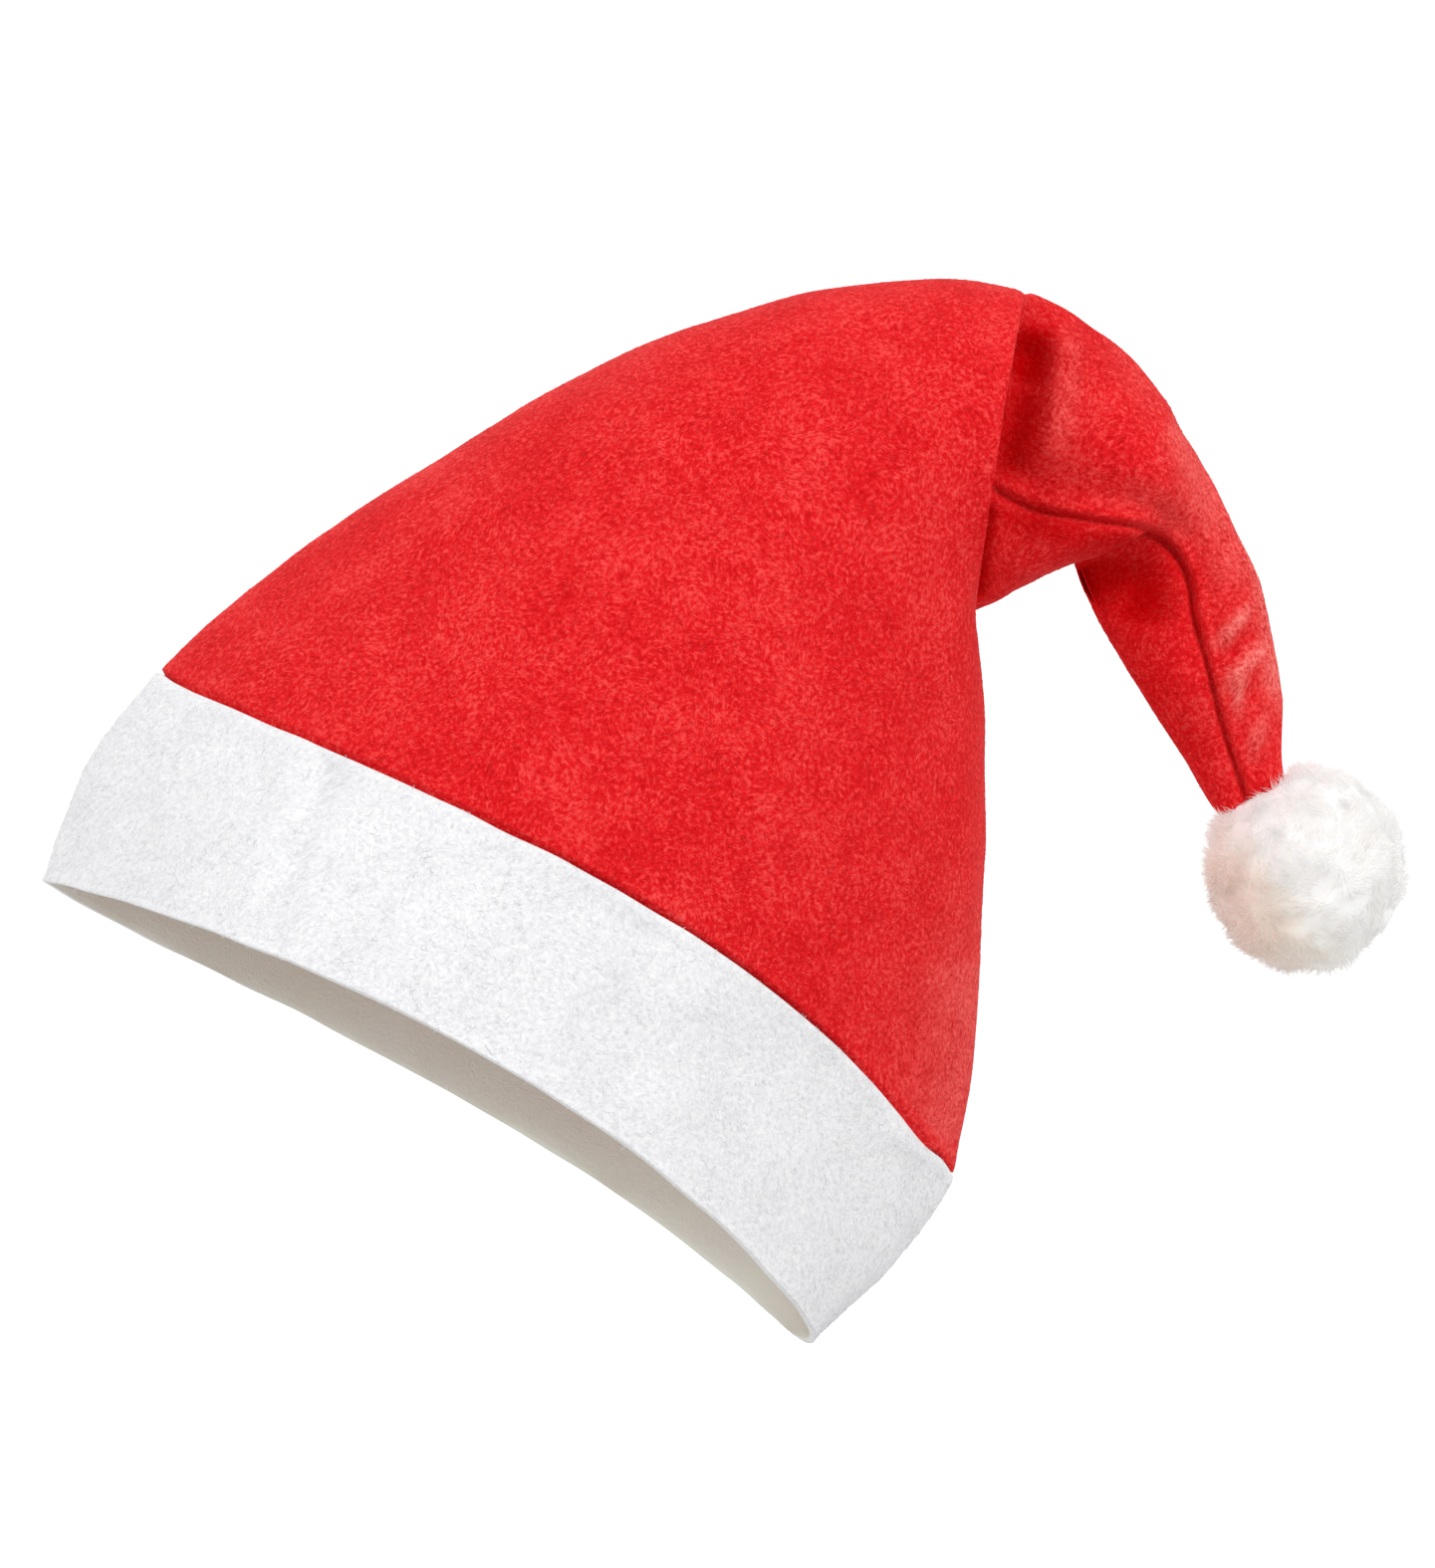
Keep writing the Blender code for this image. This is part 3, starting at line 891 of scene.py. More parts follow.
@dataclass(frozen=True)
class PlushFinish:
    """White plush, with painted shade below and painted shade and a painted red reflection on the side
    under the tail.

    centre and radius are the pompom's, in metres. side_way and low_way point to the two
    sides where shade is painted, and glow is an emission that paints the light shining
    through the pile.
    """

    name: str
    base: Colour
    # The side under the tail: painted shade with a painted reflection of the red felt.
    painted_shade_and_red_bounce: Colour
    # Below: painted shade.
    painted_shade_below: Colour
    root: Colour
    centre: tuple[float, float, float]
    radius: float
    side_way: tuple[float, float, float] = (-0.86, -0.1, -0.5)
    side_span: tuple[float, float] = (0.6, 1.2)
    low_way: tuple[float, float, float] = (-0.55, -0.15, -0.82)
    low_span: tuple[float, float] = (0.55, 1.35)
    clump_scale: float = 110.0
    clump_share: float = 0.5
    speck_scale: float = 260.0
    speck_span: tuple[float, float] = (0.35, 0.75)
    root_share: float = 0.25
    # glow: an emission that paints light into the plush, in place of light shining through the pile.
    glow: float = 0.115

    def material(self) -> bpy.types.Material:
        """Build the plush material on Object coordinates round the pompom's centre.

        Returns:
            The material.
        """
        material, bench = new_material(self.name)
        place = bench.add("ShaderNodeTexCoord").outputs["Object"]
        away = bench.vector("SUBTRACT", place, self.centre)
        clump = bench.noise(place, self.clump_scale).outputs[0]
        wander = bench.times(clump, self.clump_share * self.radius)
        sides = []
        for way, ends in ((self.side_way, self.side_span), (self.low_way, self.low_span)):
            low, high = (end * self.radius for end in ends)
            sides.append(bench.span(bench.plus(bench.reach(away, way), wander), low, high))
        pale = bench.mix(bench.times(bench.mark("tone"), self.root_share), self.base, self.root)
        speck = bench.noise(place, self.speck_scale).outputs[0]
        speck = bench.span(speck, *self.speck_span)
        pale = bench.mix(bench.times(speck, self.root_share), pale, self.root)
        # Painted shade and a painted red reflection on the side under the tail, painted shade below.
        colour = bench.mix(sides[0], bench.mix(sides[1], pale, self.painted_shade_below), self.painted_shade_and_red_bounce)
        # The emission is painted light: the plush is no lamp.
        bench.surface({
            "Base Color": colour, "Roughness": 0.85, "Sheen Weight": 0.3,
            "Sheen Roughness": 0.5, "Subsurface Weight": 0.7,
            "Subsurface Radius": (1.0, 0.85, 0.75), "Subsurface Scale": 0.004,
            "Emission Color": colour, "Emission Strength": self.glow,
        })
        return material


class FibreKind(Enum):
    """How single fibres lie: matted along the cloth or standing out of it."""

    MATTED = "matted"
    PILE = "pile"


@dataclass
class FibreLayer:
    """Fibres spread over a surface by Geometry Nodes.

    density is fibres for each square metre; length, width, lift and curl are in
    metres; whorl is the size of the swirls in which they lie, or of the pile's clumps.
    arch_share is the part of the lift that stays under a matted fibre's middle.
    """

    kind: FibreKind
    density: float
    length: float
    width: float
    lift: float
    curl: float
    whorl: float
    seed: int
    mask: str = ""
    clumping: float = 9.0
    looseness: float = 0.16
    swirl_turn: float = 4.0 * math.pi
    scatter: float = 1.3
    arch_share: float = 0.7
    smallest: float = 0.55
    largest: float = 1.3

    def spindle(self, bench: Bench, sizes: dict[str, Socket]) -> Socket:
        """One three-sided fibre: bent down at both ends along X, or a bowed spike along Z.

        Args:
            bench: the tree's bench.
            sizes: the tree's named size inputs.

        Returns:
            The fibre's mesh.
        """
        cone = bench.add("GeometryNodeMeshCone", {
            "Vertices": 3, "Side Segments": 2, "Radius Top": 0.0, "Radius Bottom": 0.5, "Depth": 1.0,
        }, fill_type="NONE").outputs[0]
        place = bench.add("GeometryNodeInputPosition").outputs[0]
        x, y, z = bench.add("ShaderNodeSeparateXYZ", {0: place}).outputs
        wide = [bench.times(part, sizes["Width"]) for part in (x, y)]
        if self.kind is FibreKind.PILE:
            bow = bench.times(bench.times(z, z), sizes["Curl"])
            spot = {0: bench.plus(wide[0], bow), 1: wide[1], 2: bench.times(z, sizes["Length"])}
        else:
            centred = bench.maths("SUBTRACT", z, 0.5)
            square = bench.times(centred, centred)
            drop = bench.times(bench.times(square, 4.0), sizes["Lift"])
            rise = bench.maths("SUBTRACT", bench.times(sizes["Lift"], self.arch_share), drop)
            spot = {
                0: bench.times(centred, sizes["Length"]),
                1: bench.plus(wide[0], bench.times(square, sizes["Curl"])),
                2: bench.plus(wide[1], rise),
            }
        where = bench.add("ShaderNodeCombineXYZ", spot).outputs[0]
        return bench.add("GeometryNodeSetPosition", {"Geometry": cone, "Position": where}).outputs[0]

    def heading(self, bench: Bench, points: Any, whorl: Any) -> Socket:
        """How each fibre is turned: swirled along the cloth, or out of it in clumps.

        Args:
            bench: the tree's bench.
            points: the outputs of the node that spreads the points.
            whorl: the size input of the swirls or clumps.

        Returns:
            Each fibre's rotation.
        """
        place = bench.add("GeometryNodeInputPosition").outputs[0]
        field = bench.noise(place, 1.0, 1.0)
        bench.tree.links.new(whorl, field.inputs["Scale"])
        scatter = bench.chance(-1.0, 1.0, 11)
        if self.kind is FibreKind.PILE:
            far = self.looseness
            feeds = {0: (-far, -far, -far), 1: (far, far, far), "Seed": 5}
            loose = bench.add("FunctionNodeRandomValue", feeds, data_type="FLOAT_VECTOR").outputs[0]
            aim = bench.vector("ADD", points["Normal"], bench.push(field.outputs[1], self.clumping))
            aim = bench.vector("ADD", aim, loose)
            base = bench.add("FunctionNodeAlignRotationToVector", {"Vector": aim}, axis="Z").outputs[0]
            angle = bench.times(scatter, math.pi)
        else:
            base = points["Rotation"]
            swirl = bench.times(field.outputs[0], self.swirl_turn)
            angle = bench.plus(swirl, bench.times(scatter, self.scatter))
        feeds = {"Axis": (0.0, 0.0, 1.0), "Angle": angle}
        spin = bench.add("FunctionNodeAxisAngleToRotation", feeds).outputs[0]
        feeds = {0: base, 1: spin}
        return bench.add("FunctionNodeRotateRotation", feeds, rotation_space="LOCAL").outputs[0]

    def tree(self, name: str, material: bpy.types.Material) -> bpy.types.NodeTree:
        """Build the node tree that spreads the fibres.

        Args:
            name: the tree's name.
            material: the fibres' material.

        Returns:
            The tree.
        """
        tree = bpy.data.node_groups.new(name, "GeometryNodeTree")
        face = tree.interface
        for way in ("INPUT", "OUTPUT"):
            face.new_socket("Geometry", in_out=way, socket_type="NodeSocketGeometry")
        for size in ("Density", "Length", "Width", "Lift", "Curl", "Whorl"):
            face.new_socket(size, in_out="INPUT", socket_type="NodeSocketFloat")
        face.new_socket("Seed", in_out="INPUT", socket_type="NodeSocketInt")
        bench = Bench(tree)
        inputs = bench.add("NodeGroupInput").outputs
        named = {socket.name: socket for socket in inputs if socket.name}
        spread = {"Mesh": named["Geometry"], "Density": named["Density"], "Seed": named["Seed"]}
        if self.mask:
            feeds = {"Name": self.mask}
            held = bench.add("GeometryNodeInputNamedAttribute", feeds, data_type="FLOAT").outputs[0]
            spread["Density"] = bench.times(named["Density"], held)
        points = bench.add("GeometryNodeDistributePointsOnFaces", spread).outputs
        placed = bench.add("GeometryNodeInstanceOnPoints", {
            "Points": points["Points"], "Instance": self.spindle(bench, named),
            "Rotation": self.heading(bench, points, named["Whorl"]),
            "Scale": bench.chance(self.smallest, self.largest, 3),
        }).outputs[0]
        feeds = {"Geometry": placed, "Name": "tone", "Value": bench.chance(0.0, 1.0, 7)}
        toned = bench.add(
            "GeometryNodeStoreNamedAttribute", feeds, data_type="FLOAT", domain="INSTANCE"
        ).outputs[0]
        whole = bench.add("GeometryNodeRealizeInstances", {"Geometry": toned}).outputs[0]
        feeds = {"Geometry": whole, "Material": material}
        dressed = bench.add("GeometryNodeSetMaterial", feeds).outputs[0]
        bench.add("NodeGroupOutput", {0: dressed})
        return tree

    def grow(self, name: str, ground: Piece, finish: bpy.types.Material) -> Piece:
        """Spread the fibres over a surface and keep them as a plain mesh.

        Args:
            name: the new piece's name.
            ground: the object whose faces carry the fibres.
            finish: the fibres' material.

        Returns:
            The fibres' object.
        """
        tree = self.tree(f"{name}_tree", finish)
        modifier = ground.modifiers.new(name, "NODES")
        modifier.node_group = tree
        values = {
            "Density": self.density, "Length": self.length, "Width": self.width,
            "Lift": self.lift, "Curl": self.curl, "Whorl": 1.0 / self.whorl, "Seed": self.seed,
        }
        for item in tree.interface.items_tree:
            if item.item_type == "SOCKET" and item.in_out == "INPUT" and item.name in values:
                modifier[item.identifier] = values[item.name]
        ground.update_tag()
        graph = bpy.context.evaluated_depsgraph_get()
        graph.update()
        data = bpy.data.meshes.new_from_object(ground.evaluated_get(graph))
        ground.modifiers.remove(modifier)
        data.name = name
        data.shade_smooth()
        piece = bpy.data.objects.new(name, data)
        bpy.context.scene.collection.objects.link(piece)
        return piece


def settle(piece: Piece) -> None:
    """Let a finished piece ride on the hat's body."""
    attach(piece, BODY)


@dataclass
class Crown:
    """The red felt crown with its folded-over tail."""

    form: HatForm
    wall: float = 1.2
    hem_fade: float = 1.8
    hem_fade_at_seam: float = 0.6
    hem_above: float = 0.5
    hem_depth: float = 2.3
    in_band_fade: float = 5.0
    even_below: float = 2.0
    even_fade: float = 14.0
    tail_start: float = 262.0
    tail_fade: float = 20.0
    tip_fade: float = 12.0
    front_edge: float = 3.0
    closed_rings: int = 12
    steps: int = 272
    seam_dip: float = 0.4
    seam_width: float = 0.035
    seam_carry: float = 0.35
    stretches: tuple[Stretch, ...] = (
        Stretch(-6.0, 0.0, 3), Stretch(0.0, 7.0, 12), Stretch(7.0, 231.0, 92),
        Stretch(231.0, 249.0, 12), Stretch(249.0, 277.0, 38), Stretch(277.0, 330.0, 36),
        Stretch(330.0, 352.0, 28), Stretch(352.0, 427.0, 44),
    )
    inside_every: int = 4
    ground_every: int = 2
    ground_ends: tuple[int, int] = (2, 3)
    flat: tuple[float, float] = (0.58, 0.43)
    flat_area: float = 0.12

    def places(self) -> np.ndarray:
        """Where the crown has its rings.

        Returns:
            The rings' distances along the hat.
        """
        runs = [
            np.linspace(stretch.start, stretch.end, stretch.rings, endpoint=False)
            for stretch in self.stretches
        ]
        return np.append(np.concatenate(runs), self.stretches[-1].end)

    def hem_inset(self, along: np.ndarray, turn: np.ndarray) -> np.ndarray:
        """How far the crown lies inside the band's outer face.

        Args:
            along: distances along the hat.
            turn: angles round the section, the same shape.

        Returns:
            The depth at each place.
        """
        across = np.sqrt(np.abs(np.sin(turn)))
        edge = read_column(EDGE_SHIFTS, "top", turn) + self.hem_above * across
        fade = self.hem_fade * (self.hem_fade_at_seam + (1.0 - self.hem_fade_at_seam) * across)
        return self.hem_depth * smooth_step(1.0 - (along - edge) / fade)

    def before_tip(self, along: np.ndarray) -> np.ndarray:
        """1 on the hat, falling to 0 at the tail's tip."""
        return smooth_step((self.form.last - along) / self.tip_fade)

    def relief(self, spots: np.ndarray, along: np.ndarray, turn: np.ndarray) -> np.ndarray:
        """Soft dents, the seams' dip and the hem's part of the band's folds, as heights.

        Args:
            spots: x, y and z of the points, in rows.
            along: their distances along the hat.
            turn: their angles round the section.

        Returns:
            The height of each point.
        """
        tail = smooth_step((along - self.tail_start) / self.tail_fade)
        above_hem = smooth_step((along - self.even_below) / self.even_fade)
        tip = self.before_tip(along)
        height = np.zeros(len(along))
        for bumps in CROWN_BUMPS:
            share = (bumps.height + bumps.tail * tail) * (tip + bumps.at_tip * (1.0 - tip))
            height += share * add_noise(spots, bumps.size, bumps.seed) * above_hem
        at_seam = np.minimum(np.abs(np.sin(turn)), 1.0)
        height -= self.seam_dip * np.exp(-((at_seam / self.seam_width) ** 2)) * above_hem
        around = np.minimum(turn, 2.0 * math.pi - turn)
        for dent in SEAM_DENTS:
            reach = ((along - dent.along) / dent.width) ** 2 + (around / SEAM_DENT_TURN) ** 2
            height -= dent.depth * np.exp(-reach)
        in_band = smooth_step(-along / self.in_band_fade) * (spots[:, 1] < 0.0)
        height += in_band * sum(fold.height(spots, along) for fold in BAND_FOLDS)
        return height

    def skin(
        self, along: np.ndarray, turn: np.ndarray
    ) -> tuple[np.ndarray, np.ndarray, np.ndarray]:
        """The outer skin, whose folds are raised and sunk straight to the front.

        Args:
            along: distances along the hat, as a grid.
            turn: angles round the section, the same grid.

        Returns:
            The skin's points, its directions outwards and the plain form's points.
        """
        outside = self.form.points(along, turn)
        out = self.form.normals(along, turn)
        spots, flat = outside.reshape(-1, 3), along.ravel()
        height = self.relief(spots, flat, turn.ravel()).reshape(along.shape)
        skin = outside + out * (height - self.hem_inset(along, turn))[..., None]
        folds = sum(fold.height(spots, flat) for fold in FRONT_FOLDS).reshape(along.shape)
        on_front = smooth_step(np.sin(turn) * self.front_edge)
        skin[..., 1] -= folds * on_front * self.before_tip(along)
        return skin, out, outside

    def mesh_piece(self) -> Piece:
        """Build the wall: outer skin, inner skin, hem edge and the closed tip.

        Returns:
            The wall's piece.
        """
        places = self.places()
        angles = np.linspace(0.0, 2.0 * math.pi, self.steps, endpoint=False)
        along, turn = np.meshgrid(places, angles, indexing="ij")
        skin, out, outside = self.skin(along, turn)
        picked = list(range(0, len(places) - self.closed_rings, self.inside_every))
        inner = skin[picked] - out[picked] * self.wall
        rings = np.concatenate([inner[::-1], skin]).reshape(-1, 3)
        count = len(picked) + len(places)
        tip = skin[-1].mean(axis=0)
        end = inner[-1].mean(axis=0)
        spots = np.vstack([rings, tip, end])
        faces = grid_faces(count, self.steps)
        last = (count - 1) * self.steps
        for step in range(self.steps):
            after = (step + 1) % self.steps
            faces.append((last + step, last + after, len(rings)))
            faces.append((after, step, len(rings) + 1))
        piece = new_piece("crown_felt", spots, faces)
        inside = np.zeros(len(spots))
        inside[: len(picked) * self.steps] = 1.0
        inside[-1] = 1.0
        mark_points(piece, "inside", inside)
        # Marks for painted shade and painted highlights on the outer skin.
        for name, values in self.tints(outside, along, turn).items():
            spread = np.zeros(len(spots))
            spread[len(picked) * self.steps : len(rings)] = values
            mark_points(piece, name, spread)
        return piece

    def tints(
        self, outside: np.ndarray, along: np.ndarray, turn: np.ndarray
    ) -> dict[str, np.ndarray]:
        """How much shade and how much highlight is painted on the outer skin.

        Args:
            outside: the plain form's points, as a grid.
            along: their distances along the hat.
            turn: their angles round the section.

        Returns:
            One value for each point, under deep for the painted shade and under painted_highlight for
            the painted highlight.
        """
        spots, flat = outside.reshape(-1, 3), along.ravel()
        facing = np.sin(turn.ravel())
        share = np.where(facing > 0.0, 1.0, np.exp(-((facing / self.seam_carry) ** 2)))
        marks = {}
        for name, table in (("deep", PAINTED_SHADE_TINTS), ("painted_highlight", PAINTED_HIGHLIGHT_TINTS)):
            most = np.max([tint.strength(spots, flat) for tint in table], axis=0)
            marks[name] = np.clip(most, 0.0, 1.0) * share
        return marks

    def fibre_ground(self, panel: Panel) -> Piece:
        """Build one panel's outer skin, which carries its loose fibres.

        Args:
            panel: the panel to build.

        Returns:
            An object that is removed when the fibres are grown.
        """
        first, last = self.ground_ends
        places = self.places()[:: self.ground_every][first:-last]
        start = 0.0 if panel is Panel.FRONT else math.pi
        angles = np.linspace(start, start + math.pi, self.steps // 4 + 1)
        along, turn = np.meshgrid(places, angles, indexing="ij")
        skin, _, outside = self.skin(along, turn)
        rows, columns = along.shape
        starts = [row * columns + column for row in range(rows - 1) for column in range(columns - 1)]
        faces = [(at, at + 1, at + columns + 1, at + columns) for at in starts]
        piece = new_piece(f"crown_ground_{panel.value}", skin.reshape(-1, 3), faces)
        # Marks for painted shade and painted highlights, carried on to the fibres.
        for name, values in self.tints(outside, along, turn).items():
            mark_points(piece, name, values)
        return piece

    def build(self, felt: FeltFinish, fibres: FibreFinish, layer: FibreLayer) -> list[Piece]:
        """Build the crown and its loose fibres.

        Args:
            felt: the cloth's finish.
            fibres: the loose fibres' finish.
            layer: how the fibres are spread.

        Returns:
            The pieces.
        """
        crown = self.mesh_piece()
        crown.data.materials.append(felt.material())
        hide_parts("crown")
        pieces = [crown]
        finish = fibres.material()
        for panel in Panel:
            ground = self.fibre_ground(panel)
            pieces.append(layer.grow(f"crown_fibres_{panel.value}", ground, finish))
            bpy.data.objects.remove(ground)
        for piece in pieces:
            settle(piece)
        return pieces


@dataclass
class Band:
    """The white felt band round the mouth."""

    form: HatForm
    wall: float = 1.8
    steps: int = 300
    rings: int = 34
    inner_rings: int = 14
    edge_steps: int = 6
    puff: float = 0.5
    puff_width: float = 2.4
    puff_inset: float = 2.2
    waver: float = 0.55
    top_waves: float = 11.0
    rim_waves: float = 14.0
    top_seed: float = 41.0
    rim_seed: float = 47.0
    edge_reach: float = 25.0
    even_top: float = 5.0
    even_rim: float = 4.0
    rise_span: float = 10.0
    ring_radius: float = 90.0
    edge_inside: float = 0.6
    fibre_rings: int = 20
    fibre_edge: float = 1.0
    flat: tuple[float, float] = (0.585, 0.06)
    flat_area: float = 0.0349

    def dents(self, spots: np.ndarray, along: np.ndarray) -> np.ndarray:
        """Soft dents, folds and the puffed edges, as heights.

        Args:
            spots: x, y and z of the points, in rows.
            along: their distances along the hat.

        Returns:
            The height of each point.
        """
        height = sum(bumps.height * add_noise(spots, bumps.size, bumps.seed) for bumps in BAND_BUMPS)
        folds = sum(fold.height(spots, along) for fold in BAND_FOLDS)
        height += np.where(spots[:, 1] < 0.0, folds, 0.0)
        height *= smooth_step(-along / self.even_top)
        height *= smooth_step((along - self.form.first) / self.even_rim)
        for middle in (-self.puff_inset, self.form.first + self.puff_inset):
            height += self.puff * np.exp(-(((along - middle) / self.puff_width) ** 2))
        return height

    def profile(self) -> tuple[np.ndarray, np.ndarray, np.ndarray]:
        """The band's cross-section.

        Returns:
            Its points' distances along the hat, their insets from the outer face and
            how much each counts as inside.
        """
        half = self.wall / 2.0
        low, high = self.form.first + half, -half
        bends = np.linspace(0.0, math.pi, self.edge_steps + 2)[1:-1]
        up = np.linspace(low, high, self.rings)
        down = np.linspace(high, low, self.inner_rings)
        along = [up, high + half * np.sin(bends), down, low - half * np.sin(bends)]
        inset = [
            np.zeros_like(up), half * (1.0 - np.cos(bends)),
            np.full_like(down, self.wall), half * (1.0 + np.cos(bends)),
        ]
        inside = [
            np.zeros_like(up), np.linspace(0.0, self.edge_inside, len(bends)),
            np.ones_like(down), np.linspace(self.edge_inside, 0.0, len(bends)),
        ]
        return np.concatenate(along), np.concatenate(inset), np.concatenate(inside)

    def skin(self, places: np.ndarray, insets: np.ndarray, angles: np.ndarray) -> np.ndarray:
        """Points of the band, one ring for each place in its cross-section.

        Args:
            places: each ring's distance along the hat.
            insets: each ring's depth under the outer face.
            angles: the points' angles round the section.

        Returns:
            The points, by ring and by angle.
        """
        along, turn = np.meshgrid(places, angles, indexing="ij")
        ring = np.stack([np.cos(angles), np.sin(angles), np.zeros_like(angles)], axis=1)
        ring *= self.ring_radius
        loose = self.waver * np.sqrt(np.abs(np.sin(angles)))
        top_wave = add_noise(ring, self.top_waves, self.top_seed)
        rim_wave = add_noise(ring, self.rim_waves, self.rim_seed)
        top = read_column(EDGE_SHIFTS, "top", angles) + loose * top_wave
        rim = read_column(EDGE_SHIFTS, "rim", angles) + loose * rim_wave
        moved = along + top * smooth_step(1.0 + along / self.edge_reach)
        points = self.form.points(moved, turn)
        out = self.form.normals(moved, turn)
        low = self.form.points(np.full_like(angles, self.form.first), angles)
        high = self.form.points(np.full_like(angles, self.form.first + self.rise_span), angles)
        rise = high - low
        rise /= np.linalg.norm(rise, axis=1, keepdims=True)
        share = smooth_step((self.form.first - along) / self.edge_reach + 1.0)
        points = points + rise * (rim * share)[..., None]
        lift = self.dents(points.reshape(-1, 3), along.ravel()).reshape(along.shape)
        return points + out * (lift - insets[:, None])[..., None]

    def mesh_piece(self) -> Piece:
        """Build the band as one closed ring of cloth.

        Returns:
            The band's piece.
        """
        places, insets, inside = self.profile()
        angles = np.linspace(0.0, 2.0 * math.pi, self.steps, endpoint=False)
        rings = self.skin(places, insets, angles)
        spots = rings.reshape(-1, 3)
        faces = grid_faces(len(places), self.steps)
        last = (len(places) - 1) * self.steps
        for step in range(self.steps):
            after = (step + 1) % self.steps
            faces.append((last + step, last + after, after, step))
        piece = new_piece("band_felt", spots, faces)
        mark_points(piece, "inside", np.repeat(inside, self.steps))
        return piece

    def fibre_ground(self) -> Piece:
        """Build the band's outer face, which carries its loose fibres.

        Returns:
            An object that is removed when the fibres are grown.
        """
        edge = self.fibre_edge
        places = np.linspace(self.form.first + edge, -edge, self.fibre_rings)
        angles = np.linspace(0.0, 2.0 * math.pi, self.steps // 2, endpoint=False)
        rings = self.skin(places, np.zeros_like(places), angles)
        faces = grid_faces(len(places), len(angles))
        return new_piece("band_ground", rings.reshape(-1, 3), faces)

    def build(self, felt: FeltFinish, fibres: FibreFinish, layer: FibreLayer) -> list[Piece]:
        """Build the band and its loose fibres.

        Args:
            felt: the cloth's finish.
            fibres: the loose fibres' finish.
            layer: how the fibres are spread.

        Returns:
            The pieces.
        """
        band = self.mesh_piece()
        band.data.materials.append(felt.material())
        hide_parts("band")
        ground = self.fibre_ground()
        loose = layer.grow("band_fibres", ground, fibres.material())
        bpy.data.objects.remove(ground)
        for piece in (band, loose):
            settle(piece)
        return [band, loose]


@dataclass
class Pompom:
    """The white plush pompom on the tail's end."""

    form: HatForm
    centre: tuple[float, float, float] = (234.3, 30.0, 62.6)
    head_radius: float = 25.5
    socket_radius: float = 15.5
    socket_width: float = 8.7
    socket_depth: float = 8.5
    tall: float = 1.04
    subdivisions: int = 6
    lump_radius: float = 28.0
    lumps: tuple[Bumps, ...] = (Bumps(1.3, 0, 9, 5, 0), Bumps(0.6, 0, 4, 8, 0))
    bald_reach: float = 1.15
    bald_fade: float = 0.1
    socket_reach: float = 1.25
    socket_fade: float = 0.2
    tail_place: float = 412.0
    head_tone: float = 0.6

    def tail_axes(self) -> tuple[np.ndarray, np.ndarray]:
        """The tail's directions at the pompom.

        Returns:
            The way from the pompom's centre up the tail, and the tail's wide way.
        """
        turn = np.array([0.0, math.pi])
        ends = self.form.points(np.full(2, self.tail_place), turn)
        way = ends.mean(axis=0) - np.array(self.centre)
        wide = ends[1] - ends[0]
        way /= np.linalg.norm(way)
        wide -= way * (wide @ way)
        return way, wide / np.linalg.norm(wide)

    def mesh_piece(self) -> Piece:
        """Build the clumped head with the tail's socket in it.

        Returns:
            The head's piece.
        """
        ball = bmesh.new()
        bmesh.ops.create_icosphere(ball, subdivisions=self.subdivisions, radius=1.0)
        rays = np.array([vert.co[:] for vert in ball.verts])
        rays /= np.linalg.norm(rays, axis=1, keepdims=True)
        faces = [tuple(vert.index for vert in face.verts) for face in ball.faces]
        ball.free()
        way, wide = self.tail_axes()
        deep = np.cross(way, wide)
        radius = np.full(len(rays), self.head_radius)
        for lump in self.lumps:
            radius += lump.height * add_noise(rays * self.lump_radius, lump.size, lump.seed)
        spots = rays * radius[:, None]
        across = np.hypot(spots @ wide / self.socket_width, spots @ deep / self.socket_depth)
        near_tail = rays @ way > 0.0
        in_socket = smooth_step((self.socket_reach - across) / self.socket_fade) * near_tail
        sunk = np.minimum(radius, self.socket_radius)
        radius = radius + (sunk - radius) * in_socket
        head = rays * radius[:, None] * np.array([1.0, 1.0, self.tall])
        piece = new_piece("pompom_plush", head + np.array(self.centre), faces)
        bald = smooth_step((self.bald_reach - across) / self.bald_fade) * near_tail
        mark_points(piece, "pile", 1.0 - bald)
        mark_points(piece, "tone", np.full(len(rays), self.head_tone))
        return piece

    def build(self, plush: PlushFinish, layer: FibreLayer) -> list[Piece]:
        """Build the pompom's head and its pile.

        Args:
            plush: the finish of both.
            layer: how the pile is spread.

        Returns:
            The pieces.
        """
        head = self.mesh_piece()
        finish = plush.material()
        pile = layer.grow("pompom_pile", head, finish)
        head.data.materials.append(finish)
        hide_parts("pompom")
        for piece in (head, pile):
            settle(piece)
        return [head, pile]


class Lamp(NamedTuple):
    """A square soft light."""

    name: str
    place: tuple[float, float, float]
    size: float
    power: float


